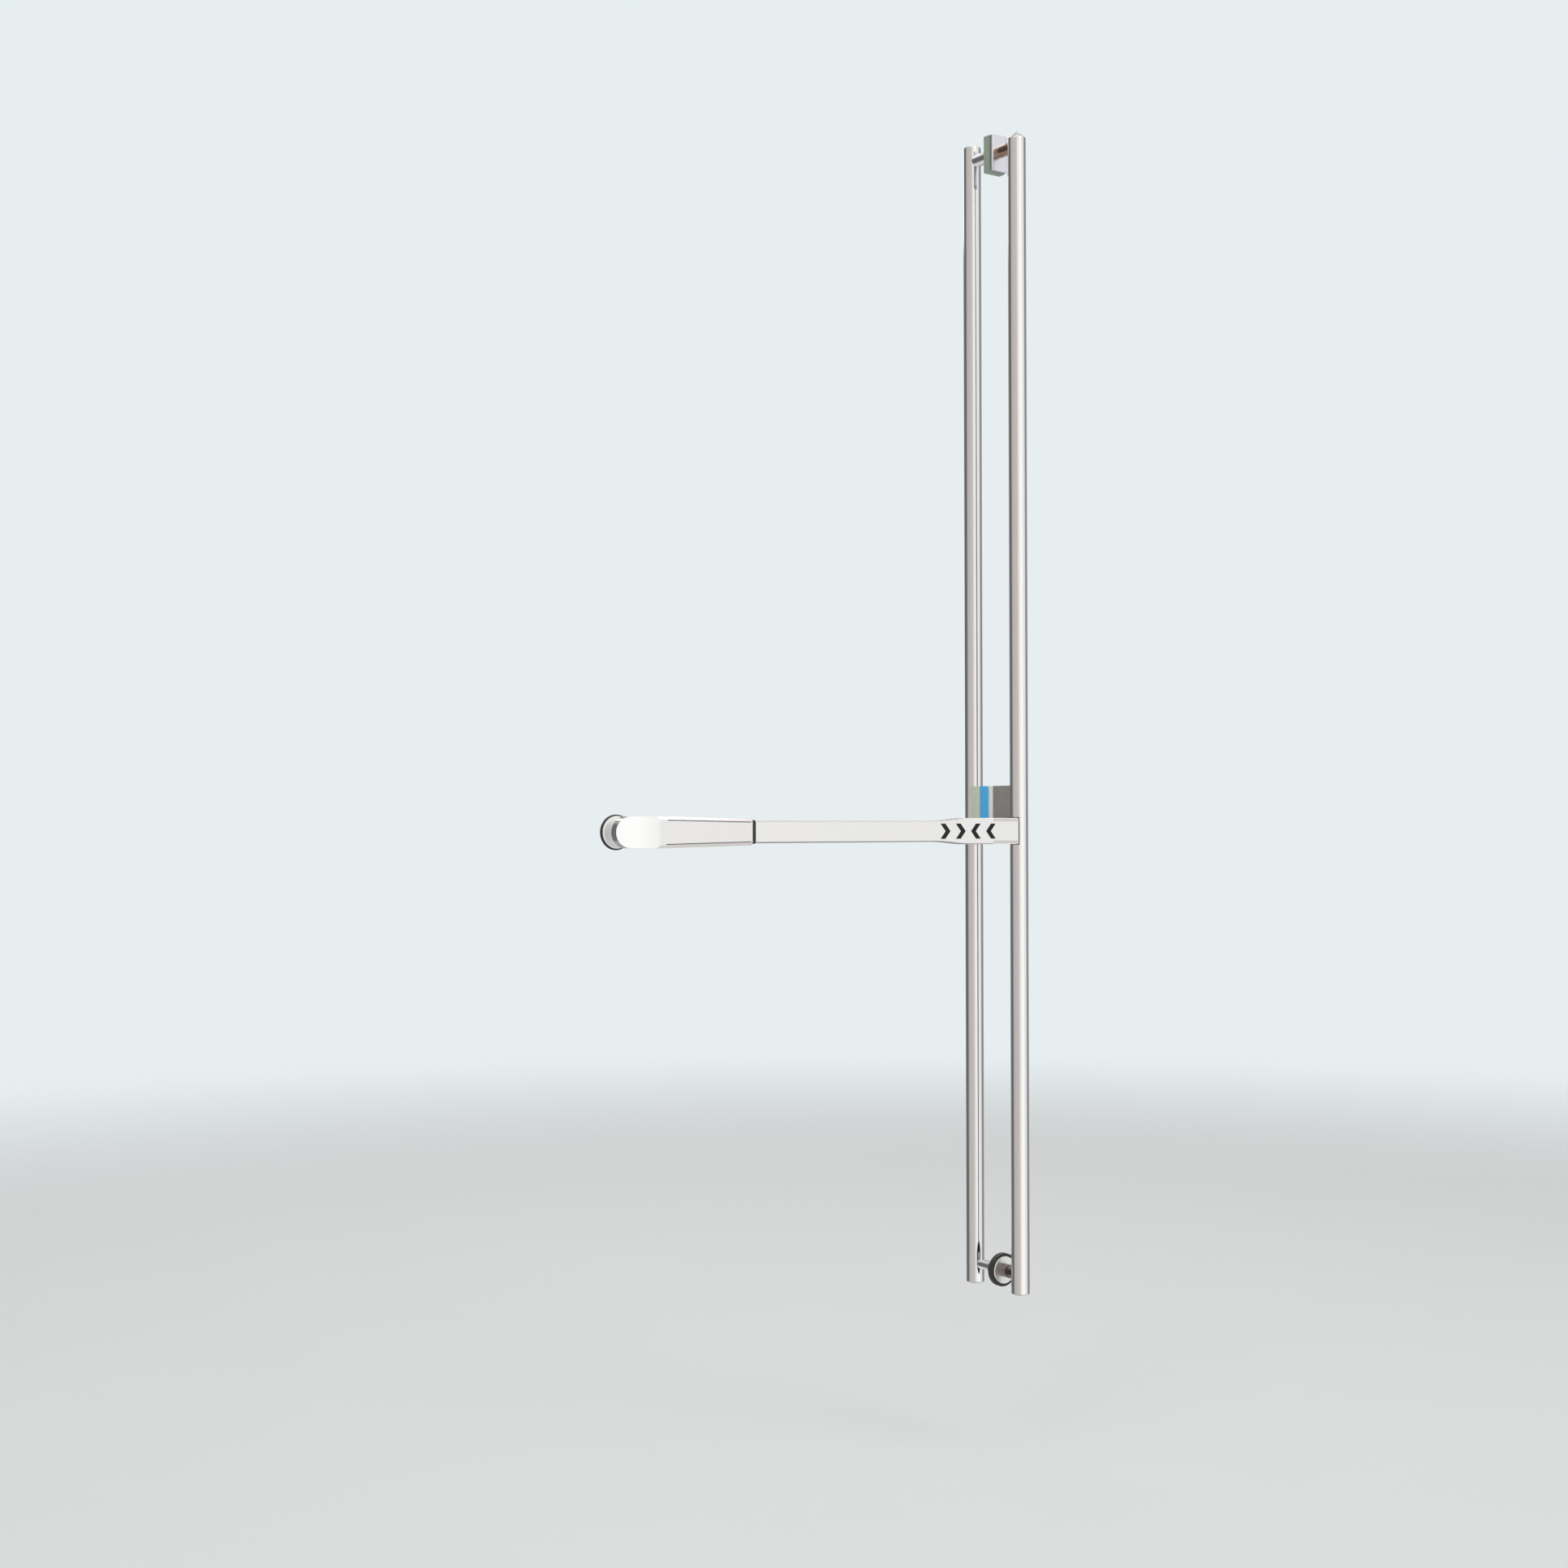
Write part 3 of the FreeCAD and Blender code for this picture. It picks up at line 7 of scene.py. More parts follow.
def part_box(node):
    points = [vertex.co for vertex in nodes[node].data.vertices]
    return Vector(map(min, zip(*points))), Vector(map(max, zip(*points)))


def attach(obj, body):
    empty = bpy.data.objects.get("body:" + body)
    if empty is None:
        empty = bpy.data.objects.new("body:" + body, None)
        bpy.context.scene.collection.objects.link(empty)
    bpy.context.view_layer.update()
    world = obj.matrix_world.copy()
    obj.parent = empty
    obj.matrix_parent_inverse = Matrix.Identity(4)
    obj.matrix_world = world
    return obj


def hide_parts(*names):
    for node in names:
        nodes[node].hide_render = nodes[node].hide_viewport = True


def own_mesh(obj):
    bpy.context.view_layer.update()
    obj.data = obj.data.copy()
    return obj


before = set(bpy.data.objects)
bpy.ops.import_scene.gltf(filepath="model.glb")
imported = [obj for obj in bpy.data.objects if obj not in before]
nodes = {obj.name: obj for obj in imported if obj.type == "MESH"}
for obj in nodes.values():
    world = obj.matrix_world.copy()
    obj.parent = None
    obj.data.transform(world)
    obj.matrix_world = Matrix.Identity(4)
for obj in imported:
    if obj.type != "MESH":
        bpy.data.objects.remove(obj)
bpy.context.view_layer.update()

print("frame loaded:", len(nodes), "CAD nodes")

# camera, floor and light
viewing = {"place": (-2.1783, -2.5798, 0.0110), "yaw": 34.38, "pitch": 1.09, "roll": -0.079,
           "lens": 48.56, "sensor": 36.0, "farthest": 60.0}


def placeCamera(look):
    yaw, pitch, roll = (math.radians(look[key]) for key in ("yaw", "pitch", "roll"))
    forward = Vector((math.sin(yaw) * math.cos(pitch), math.cos(yaw) * math.cos(pitch), math.sin(pitch)))
    right = Vector((math.cos(yaw), -math.sin(yaw), 0.0))
    up = right.cross(forward)
    turned = Matrix((right, up, -forward)).transposed().to_4x4()
    camera = bpy.data.objects.new("doorSideCamera", bpy.data.cameras.new("doorSideCamera"))
    camera.data.lens = look["lens"]
    camera.data.sensor_width = look["sensor"]
    camera.data.clip_end = look["farthest"]
    camera.matrix_world = Matrix.Translation(look["place"]) @ turned @ Matrix.Rotation(roll, 4, "Z")
    bpy.context.scene.collection.objects.link(camera)
    bpy.context.scene.camera = camera


placeCamera(viewing)


def put(tree, kind, settings=None, feeds=None):  # a node with its settings, and its sockets set or linked
    node = tree.nodes.new("ShaderNode" + kind)
    for key, value in (settings or {}).items():
        setattr(node, key, value)
    for key, value in (feeds or {}).items():
        socket = node.inputs[key]
        if isinstance(value, bpy.types.NodeSocket):
            tree.links.new(value, socket)
        else:
            socket.default_value = value
    return node


def reckon(tree, operation, first, second):  # one step of arithmetic
    return put(tree, "Math", {"operation": operation}, {0: first, 1: second}).outputs[0]


def spread(tree, value, low, high, outLow, outHigh):  # a range carried over to another, and clamped
    return put(tree, "MapRange", None, {"Value": value, "From Min": low, "From Max": high,
                                        "To Min": outLow, "To Max": outHigh}).outputs[0]


def bands(tree, value, stops):  # a soft ramp through colours
    ramp = put(tree, "ValToRGB", None, {"Fac": value})
    ramp.color_ramp.interpolation = "EASE"
    keys = ramp.color_ramp.elements
    while len(keys) < len(stops):
        keys.new(0.5)
    for key, (place, colour) in zip(keys, stops):
        key.position = place
        key.color = (*colour, 1.0)
    return ramp.outputs["Color"]


def spotOn(tree):  # where on the piece a point lies
    return put(tree, "TexCoord").outputs["Object"]


def vectorStep(tree, operation, first, second):
    return put(tree, "VectorMath", {"operation": operation}, {0: first, 1: second}).outputs["Vector"]


def vectorLength(tree, value):
    return put(tree, "VectorMath", {"operation": "LENGTH"}, {0: value}).outputs["Value"]


def cloudy(tree, where, scale, detail, more=None):  # soft noise
    feeds = {"Vector": where, "Scale": scale, "Detail": detail, **(more or {})}
    return put(tree, "TexNoise", None, feeds).outputs["Fac"]


def mixColour(tree, share, first, second):
    node = put(tree, "Mix", {"data_type": "RGBA", "blend_type": "MIX"})
    for key, value in ((0, share), (6, first), (7, second)):
        if isinstance(value, bpy.types.NodeSocket):
            tree.links.new(value, node.inputs[key])
        else:
            node.inputs[key].default_value = value
    return node.outputs[2]


studio = {"front": (-0.565, -0.825, 0.0), "side": (0.825, -0.565, 0.0),
          "around": ((0.0, (0.42, 0.43, 0.44)), (0.10, (0.16, 0.17, 0.18)), (0.22, (0.14, 0.14, 0.15)),
                     (0.28, (0.54, 0.51, 0.50)), (0.46, (0.62, 0.585, 0.57)), (0.515, (0.92, 0.92, 0.91)),
                     (0.60, (1.14, 1.14, 1.14)), (0.69, (0.89, 0.885, 0.88)), (0.725, (0.90, 0.90, 0.90)),
                     (0.785, (0.26, 0.27, 0.29)),
                     (0.87, (0.30, 0.32, 0.34)), (1.0, (0.42, 0.43, 0.44))),
          "slanting": ((0.0, (0.62, 0.61, 0.60)), (0.50, (0.92, 0.91, 0.90)), (0.64, (1.08, 1.08, 1.07)),
                       (0.685, (1.12, 1.11, 1.10)), (0.715, (0.66, 0.64, 0.62)), (1.0, (0.55, 0.54, 0.53))),
          "slantFrom": 0.42, "slantFull": 0.58, "steepFrom": 0.72, "steepFull": 0.82,
          "overhead": (0.50, 0.48, 0.45), "underneath": (0.22, 0.22, 0.22),
          "backdrop": (0.80, 0.855, 0.875)}


def alongWay(tree, first, second):  # how far one direction points along another
    return put(tree, "VectorMath", {"operation": "DOT_PRODUCT"}, {0: first, 1: second}).outputs["Value"]


def hangStudio(look):  # the room that polished metal mirrors, and a pale backdrop only for the camera
    world = bpy.data.worlds.new("studioRoom")
    bpy.context.scene.world = world
    world.use_nodes = True
    tree = world.node_tree
    tree.nodes.clear()
    way = put(tree, "TexCoord").outputs["Generated"]
    front = alongWay(tree, way, look["front"])
    side = alongWay(tree, way, look["side"])
    turn = reckon(tree, "ARCTAN2", side, front)
    share = spread(tree, turn, -math.pi, math.pi, 0.0, 1.0)
    wall = bands(tree, share, look["around"])
    slant = bands(tree, share, look["slanting"])
    height = put(tree, "SeparateXYZ", None, {0: way}).outputs["Z"]
    tilt = reckon(tree, "ABSOLUTE", height, 0.0)
    room = mixColour(tree, spread(tree, tilt, look["slantFrom"], look["slantFull"], 0.0, 1.0), wall, slant)
    above = reckon(tree, "GREATER_THAN", height, 0.0)
    end = mixColour(tree, above, (*look["underneath"], 1.0), (*look["overhead"], 1.0))
    room = mixColour(tree, spread(tree, tilt, look["steepFrom"], look["steepFull"], 0.0, 1.0), room, end)
    seen = put(tree, "LightPath").outputs["Is Camera Ray"]
    colour = mixColour(tree, seen, room, (*look["backdrop"], 1.0))
    glow = put(tree, "Background", None, {"Color": colour, "Strength": 1.0})
    put(tree, "OutputWorld", None, {"Surface": glow.outputs[0]})


hangStudio(studio)
bpy.context.scene.view_settings.view_transform = "Standard"

softboxes = {
    "key": {"place": (1.0, -2.6, 3.9), "size": (2.0, 2.0), "power": 30.0, "tint": (1.0, 0.99, 0.97)},
    "fill": {"place": (-2.6, -1.0, 3.7), "size": (1.6, 2.0), "power": 16.0, "tint": (1.0, 0.97, 0.95)},
    "overhead": {"place": (-0.3, -0.4, 3.4), "size": (3.0, 3.0), "power": 22.0, "tint": (1.0, 1.0, 1.0)},
    "rear": {"place": (0.6, 3.2, 2.6), "size": (2.4, 1.6), "power": 12.0, "tint": (0.97, 0.99, 1.0)}}


aimPoint = Vector((-0.2, 0.0, 0.1))


def hangSoftbox(name, look):
    lamp = bpy.data.lights.new(name + "Softbox", "AREA")
    lamp.shape = "RECTANGLE"
    lamp.size, lamp.size_y = look["size"]
    lamp.energy = look["power"]
    lamp.color = look["tint"]
    holder = bpy.data.objects.new(name + "Softbox", lamp)
    holder.location = look["place"]
    holder.rotation_euler = (aimPoint - Vector(look["place"])).to_track_quat("-Z", "Y").to_euler()
    bpy.context.scene.collection.objects.link(holder)


for boxName, boxLook in softboxes.items():
    hangSoftbox(boxName, boxLook)

floorLook = {"level": -0.9674, "middle": -0.3, "radius": 7.0, "colour": (0.84, 0.875, 0.89),
             "mottled": (0.7, 0.7, 0.7), "mottleShare": 0.04, "mottleScale": 3.0, "roughness": 0.8,
             "fadeFrom": 2.2, "fadeTo": 6.2, "rings": 12, "spokes": 96}


def layFloor(look):
    mesh = bpy.data.meshes.new("studioFloor")
    built = bmesh.new()
    spokes = [2 * math.pi * k / look["spokes"] for k in range(look["spokes"])]
    centre = built.verts.new((look["middle"], 0.0, look["level"]))
    inner = None
    for ring in range(1, look["rings"] + 1):
        reach = look["radius"] * ring / look["rings"]
        outer = [built.verts.new((reach * math.cos(turn) + look["middle"], reach * math.sin(turn),
                                  look["level"])) for turn in spokes]
        for k in range(look["spokes"]):
            after = (k + 1) % look["spokes"]
            if inner is None:
                built.faces.new((centre, outer[k], outer[after]))
            else:
                built.faces.new((inner[k], outer[k], outer[after], inner[after]))
        inner = outer
    built.to_mesh(mesh)
    built.free()
    floor = bpy.data.objects.new("studioFloor", mesh)
    bpy.context.scene.collection.objects.link(floor)
    paint = bpy.data.materials.new("paleFloor")
    paint.use_nodes = True
    tree = paint.node_tree
    tree.nodes.clear()
    where = spotOn(tree)
    away = vectorLength(tree, vectorStep(tree, "MULTIPLY", where, (1.0, 1.0, 0.0)))
    fade = put(tree, "MapRange", {"interpolation_type": "SMOOTHERSTEP"},
               {"Value": away, "From Min": look["fadeFrom"], "From Max": look["fadeTo"]}).outputs[0]
    mottle = cloudy(tree, where, look["mottleScale"], 4.0)
    share = spread(tree, mottle, 0.3, 0.7, 0.0, look["mottleShare"])
    tone = mixColour(tree, share, (*look["colour"], 1.0), (*look["mottled"], 1.0))
    shader = put(tree, "BsdfPrincipled", None, {"Base Color": tone, "Roughness": look["roughness"]})
    gone = put(tree, "BsdfTransparent")
    both = put(tree, "MixShader", None, {0: fade, 1: shader.outputs[0], 2: gone.outputs[0]})
    put(tree, "OutputMaterial", None, {"Surface": both.outputs[0]})
    mesh.materials.append(paint)
    floor.visible_glossy = False  # the polished tubes mirror the room and not the floor


layFloor(floorLook)
print("camera, floor and soft light placed")

# effects shared by the finishes


def startGroup(name, inputs, outputs):  # a shader node group with named sockets
    group = bpy.data.node_groups.new(name, "ShaderNodeTree")
    for label, kind, value in inputs:
        socket = group.interface.new_socket(name=label, in_out="INPUT", socket_type="NodeSocket" + kind)
        if value is not None:
            socket.default_value = value
    for label, kind in outputs:
        group.interface.new_socket(name=label, in_out="OUTPUT", socket_type="NodeSocket" + kind)
    return group, group.nodes.new("NodeGroupInput").outputs, group.nodes.new("NodeGroupOutput").inputs


def join(group, source, target):
    group.links.new(source, target)


def makeEdgeWear():  # a rounded edge, and a mask of where the rounding is
    group, given, made = startGroup(
        "edgeWear", (("Radius", "Float", 0.0006), ("Breakup", "Float", 260.0), ("Reach", "Float", 0.1)),
        (("Mask", "Float"), ("Normal", "Vector")))
    rounded = put(group, "Bevel", {"samples": 4}, {"Radius": given["Radius"]}).outputs["Normal"]
    true = put(group, "NewGeometry").outputs["Normal"]
    match = alongWay(group, rounded, true)
    off = reckon(group, "SUBTRACT", 1.0, match)
    where = spotOn(group)
    chip = cloudy(group, where, given["Breakup"], 3.0)
    broken = reckon(group, "MULTIPLY", off, spread(group, chip, 0.35, 0.65, 0.3, 1.3))
    join(group, spread(group, broken, 0.0, given["Reach"], 0.0, 1.0), made["Mask"])
    join(group, rounded, made["Normal"])
    return group


def makeDrawnGrain():  # fine lines stretched along one direction
    group, given, made = startGroup("drawnGrain", (("Stretch", "Vector", (2400.0, 2400.0, 20.0)),),
                                    (("Height", "Float"), ("Tone", "Float")))
    where = spotOn(group)
    pulled = vectorStep(group, "MULTIPLY", where, given["Stretch"])
    fine = cloudy(group, pulled, 1.0, 3.0, {"Roughness": 0.6})
    wide = cloudy(group, pulled, 0.16, 2.0)
    both = reckon(group, "ADD", reckon(group, "MULTIPLY", fine, 0.65), reckon(group, "MULTIPLY", wide, 0.35))
    join(group, both, made["Height"])
    join(group, spread(group, both, 0.32, 0.68, 0.0, 1.0), made["Tone"])
    return group


def makeTurnedGrain():  # rings from a lathe, about an axis along Y through a centre
    group, given, made = startGroup(
        "turnedGrain", (("Centre", "Vector", (0.0, 0.0, 0.0)), ("Pitch", "Float", 1800.0)),
        (("Height", "Float"), ("Tone", "Float")))
    where = spotOn(group)
    local = vectorStep(group, "SUBTRACT", where, given["Centre"])
    reach = vectorLength(group, vectorStep(group, "MULTIPLY", local, (1.0, 0.0, 1.0)))
    along = put(group, "SeparateXYZ", None, {0: local}).outputs["Y"]
    spot = put(group, "CombineXYZ", None, {"X": reach, "Y": along}).outputs[0]
    ring = cloudy(group, spot, given["Pitch"], 2.0)
    join(group, ring, made["Height"])
    join(group, spread(group, ring, 0.3, 0.7, 0.0, 1.0), made["Tone"])
    return group


def makeHandling():  # smudges where hands and a cloth have been
    group, given, made = startGroup("handling", (("Size", "Float", 14.0), ("Level", "Float", 0.5)),
                                    (("Mask", "Float"),))
    where = spotOn(group)
    drift = put(group, "TexNoise", None, {"Vector": where, "Scale": 6.0, "Detail": 1.0}).outputs["Color"]
    bent = put(group, "VectorMath", {"operation": "MULTIPLY_ADD"},
               {0: drift, 1: (0.05, 0.05, 0.05), 2: where}).outputs["Vector"]
    smear = cloudy(group, bent, given["Size"], 5.0, {"Roughness": 0.62})
    low = reckon(group, "SUBTRACT", given["Level"], 0.08)
    join(group, spread(group, smear, low, reckon(group, "ADD", given["Level"], 0.2), 0.0, 1.0), made["Mask"])
    return group


def makeHairlines():  # sparse fine scratches in two directions
    group, given, made = startGroup("hairlines", (("Density", "Float", 90.0), ("Level", "Float", 0.66)),
                                    (("Mask", "Float"),))
    where = spotOn(group)
    marks = []
    for slant in ((0.3, 0.9, 0.5), (1.1, 0.2, -0.7)):
        laid = put(group, "Mapping", None,
                   {"Vector": where, "Rotation": slant, "Scale": (1.0, 22.0, 22.0)}).outputs[0]
        marks.append(cloudy(group, laid, given["Density"], 1.0))
    top = reckon(group, "MAXIMUM", *marks)
    full = reckon(group, "ADD", given["Level"], 0.08)
    join(group, spread(group, top, given["Level"], full, 0.0, 1.0), made["Mask"])
    return group


def makeSettledDust():  # a thin film on what faces up
    group, given, made = startGroup("settledDust", (("Amount", "Float", 0.2),), (("Mask", "Float"),))
    facing = put(group, "SeparateXYZ", None, {0: put(group, "NewGeometry").outputs["Normal"]}).outputs["Z"]
    where = spotOn(group)
    patch = cloudy(group, where, 120.0, 4.0)
    up = spread(group, facing, 0.55, 1.0, 0.0, 1.0)
    thin = reckon(group, "MULTIPLY", up, spread(group, patch, 0.3, 0.7, 0.2, 1.0))
    join(group, reckon(group, "MULTIPLY", thin, given["Amount"]), made["Mask"])
    return group


def makeMouldSkin():  # the fine skin that a mould leaves on plastic and rubber
    group, given, made = startGroup("mouldSkin", (("Grain", "Float", 1500.0),),
                                    (("Height", "Float"), ("Tone", "Float")))
    where = spotOn(group)
    cells = put(group, "TexVoronoi", {"feature": "SMOOTH_F1"},
                {"Vector": where, "Scale": given["Grain"]}).outputs["Distance"]
    cloud = cloudy(group, where, 70.0, 4.0)
    join(group, reckon(group, "ADD", cells, reckon(group, "MULTIPLY", cloud, 0.4)), made["Height"])
    join(group, spread(group, cloud, 0.3, 0.7, 0.0, 1.0), made["Tone"])
    return group


edgeWear, drawnGrain, turnedGrain = makeEdgeWear(), makeDrawnGrain(), makeTurnedGrain()
handling, hairlines = makeHandling(), makeHairlines()
settledDust, mouldSkin = makeSettledDust(), makeMouldSkin()
print("shared effects built")

# finishes


def useGroup(tree, group, feeds=None):
    node = tree.nodes.new("ShaderNodeGroup")
    node.node_tree = group
    for key, value in (feeds or {}).items():
        node.inputs[key].default_value = value
    return node.outputs


def startFinish(name):
    finish = bpy.data.materials.new(name)
    finish.use_nodes = True
    finish.node_tree.nodes.clear()
    return finish, finish.node_tree


metalUsual = {"edge": 0.0005, "edgeBreakup": 240.0, "edgeReach": 0.12, "wear": 0.35,
              "pitch": 1800.0, "toneShare": 0.3, "relief": 0.08, "reliefDeep": 0.0002,
              "smearSize": 14.0, "smearLevel": 0.52, "smearRough": 0.05,
              "nickDensity": 90.0, "nickLevel": 0.68, "nickRough": 0.10, "nickDepth": 0.4,
              "dust": 0.12, "dustTint": (0.55, 0.53, 0.50), "dustRough": 0.35,
              "metallic": 1.0, "anisotropic": 0.0}


def metalFinish(name, own):  # one steel or bronze, with its grain, smudges, hairlines, worn edges and dust
    look = {**metalUsual, **own}
    finish, tree = startFinish(name)
    edge = useGroup(tree, edgeWear, {"Radius": look["edge"], "Breakup": look["edgeBreakup"],
                                     "Reach": look["edgeReach"]})
    if "centre" in look:
        grain = useGroup(tree, turnedGrain, {"Centre": look["centre"], "Pitch": look["pitch"]})
    else:
        grain = useGroup(tree, drawnGrain, {"Stretch": look["stretch"]})
    smear = useGroup(tree, handling, {"Size": look["smearSize"], "Level": look["smearLevel"]})["Mask"]
    nick = useGroup(tree, hairlines, {"Density": look["nickDensity"], "Level": look["nickLevel"]})["Mask"]
    dust = useGroup(tree, settledDust, {"Amount": look["dust"]})["Mask"]
    toned = mixColour(tree, reckon(tree, "MULTIPLY", grain["Tone"], look["toneShare"]),
                      (*look["colour"], 1.0), (*look["shade"], 1.0))
    worn = mixColour(tree, reckon(tree, "MULTIPLY", edge["Mask"], look["wear"]), toned, (*look["bare"], 1.0))
    dusted = mixColour(tree, dust, worn, (*look["dustTint"], 1.0))
    rough = spread(tree, grain["Tone"], 0.0, 1.0, *look["rough"])
    rough = reckon(tree, "ADD", rough, reckon(tree, "MULTIPLY", smear, look["smearRough"]))
    if "polishedWall" in look:  # walls square to the face are polished, the face is brushed
        facing = put(tree, "SeparateXYZ", None, {0: put(tree, "NewGeometry").outputs["Normal"]}).outputs["Y"]
        wall = spread(tree, reckon(tree, "ABSOLUTE", facing, 0.0), 0.25, 0.6, 1.0, 0.0)
        rough = put(tree, "Mix", None, {0: wall, 2: rough, 3: look["polishedWall"]}).outputs[0]
    rough = reckon(tree, "ADD", rough, reckon(tree, "MULTIPLY", nick, look["nickRough"]))
    rough = reckon(tree, "ADD", rough, reckon(tree, "MULTIPLY", dust, look["dustRough"]))
    height = reckon(tree, "SUBTRACT", grain["Height"], reckon(tree, "MULTIPLY", nick, look["nickDepth"]))
    relief = put(tree, "Bump", None, {"Height": height, "Strength": look["relief"],
                                      "Distance": look["reliefDeep"], "Normal": edge["Normal"]}).outputs[0]
    shader = put(tree, "BsdfPrincipled", None, {"Base Color": dusted, "Roughness": rough, "Normal": relief,
                                                "Metallic": look["metallic"],
                                                "Anisotropic": look["anisotropic"]})
    put(tree, "OutputMaterial", None, {"Surface": shader.outputs[0]})
    return finish


skinUsual = {"edge": 0.0006, "edgeBreakup": 300.0, "edgeReach": 0.12, "grain": 1500.0, "smearSize": 22.0,
             "smearLevel": 0.5, "smearRough": 0.06, "dust": 0.2, "dustTint": (0.60, 0.58, 0.54), "wear": 0.4,
             "relief": 0.15, "reliefDeep": 0.0002, "coat": 0.0, "coatRough": 0.1, "sheen": 0.0,
             "specular": 0.5, "glow": 0.0, "glowDeep": 0.002}


def skinFinish(name, own):  # one plastic, rubber, paint or enamel
    look = {**skinUsual, **own}
    finish, tree = startFinish(name)
    edge = useGroup(tree, edgeWear, {"Radius": look["edge"], "Breakup": look["edgeBreakup"],
                                     "Reach": look["edgeReach"]})
    skin = useGroup(tree, mouldSkin, {"Grain": look["grain"]})
    smear = useGroup(tree, handling, {"Size": look["smearSize"], "Level": look["smearLevel"]})["Mask"]
    dust = useGroup(tree, settledDust, {"Amount": look["dust"]})["Mask"]
    toned = mixColour(tree, skin["Tone"], (*look["colour"], 1.0), (*look["shade"], 1.0))
    worn = mixColour(tree, reckon(tree, "MULTIPLY", edge["Mask"], look["wear"]), toned, (*look["bare"], 1.0))
    dusted = mixColour(tree, dust, worn, (*look["dustTint"], 1.0))
    rough = spread(tree, skin["Tone"], 0.0, 1.0, *look["rough"])
    rough = reckon(tree, "ADD", rough, reckon(tree, "MULTIPLY", smear, look["smearRough"]))
    relief = put(tree, "Bump", None, {"Height": skin["Height"], "Strength": look["relief"],
                                      "Distance": look["reliefDeep"], "Normal": edge["Normal"]}).outputs[0]
    shader = put(tree, "BsdfPrincipled", None,
                 {"Base Color": dusted, "Roughness": rough, "Normal": relief, "Coat Weight": look["coat"],
                  "Coat Roughness": look["coatRough"], "Sheen Weight": look["sheen"],
                  "Specular IOR Level": look["specular"],
                  "Subsurface Weight": look["glow"], "Subsurface Scale": look["glowDeep"]})
    put(tree, "OutputMaterial", None, {"Surface": shader.outputs[0]})
    return finish


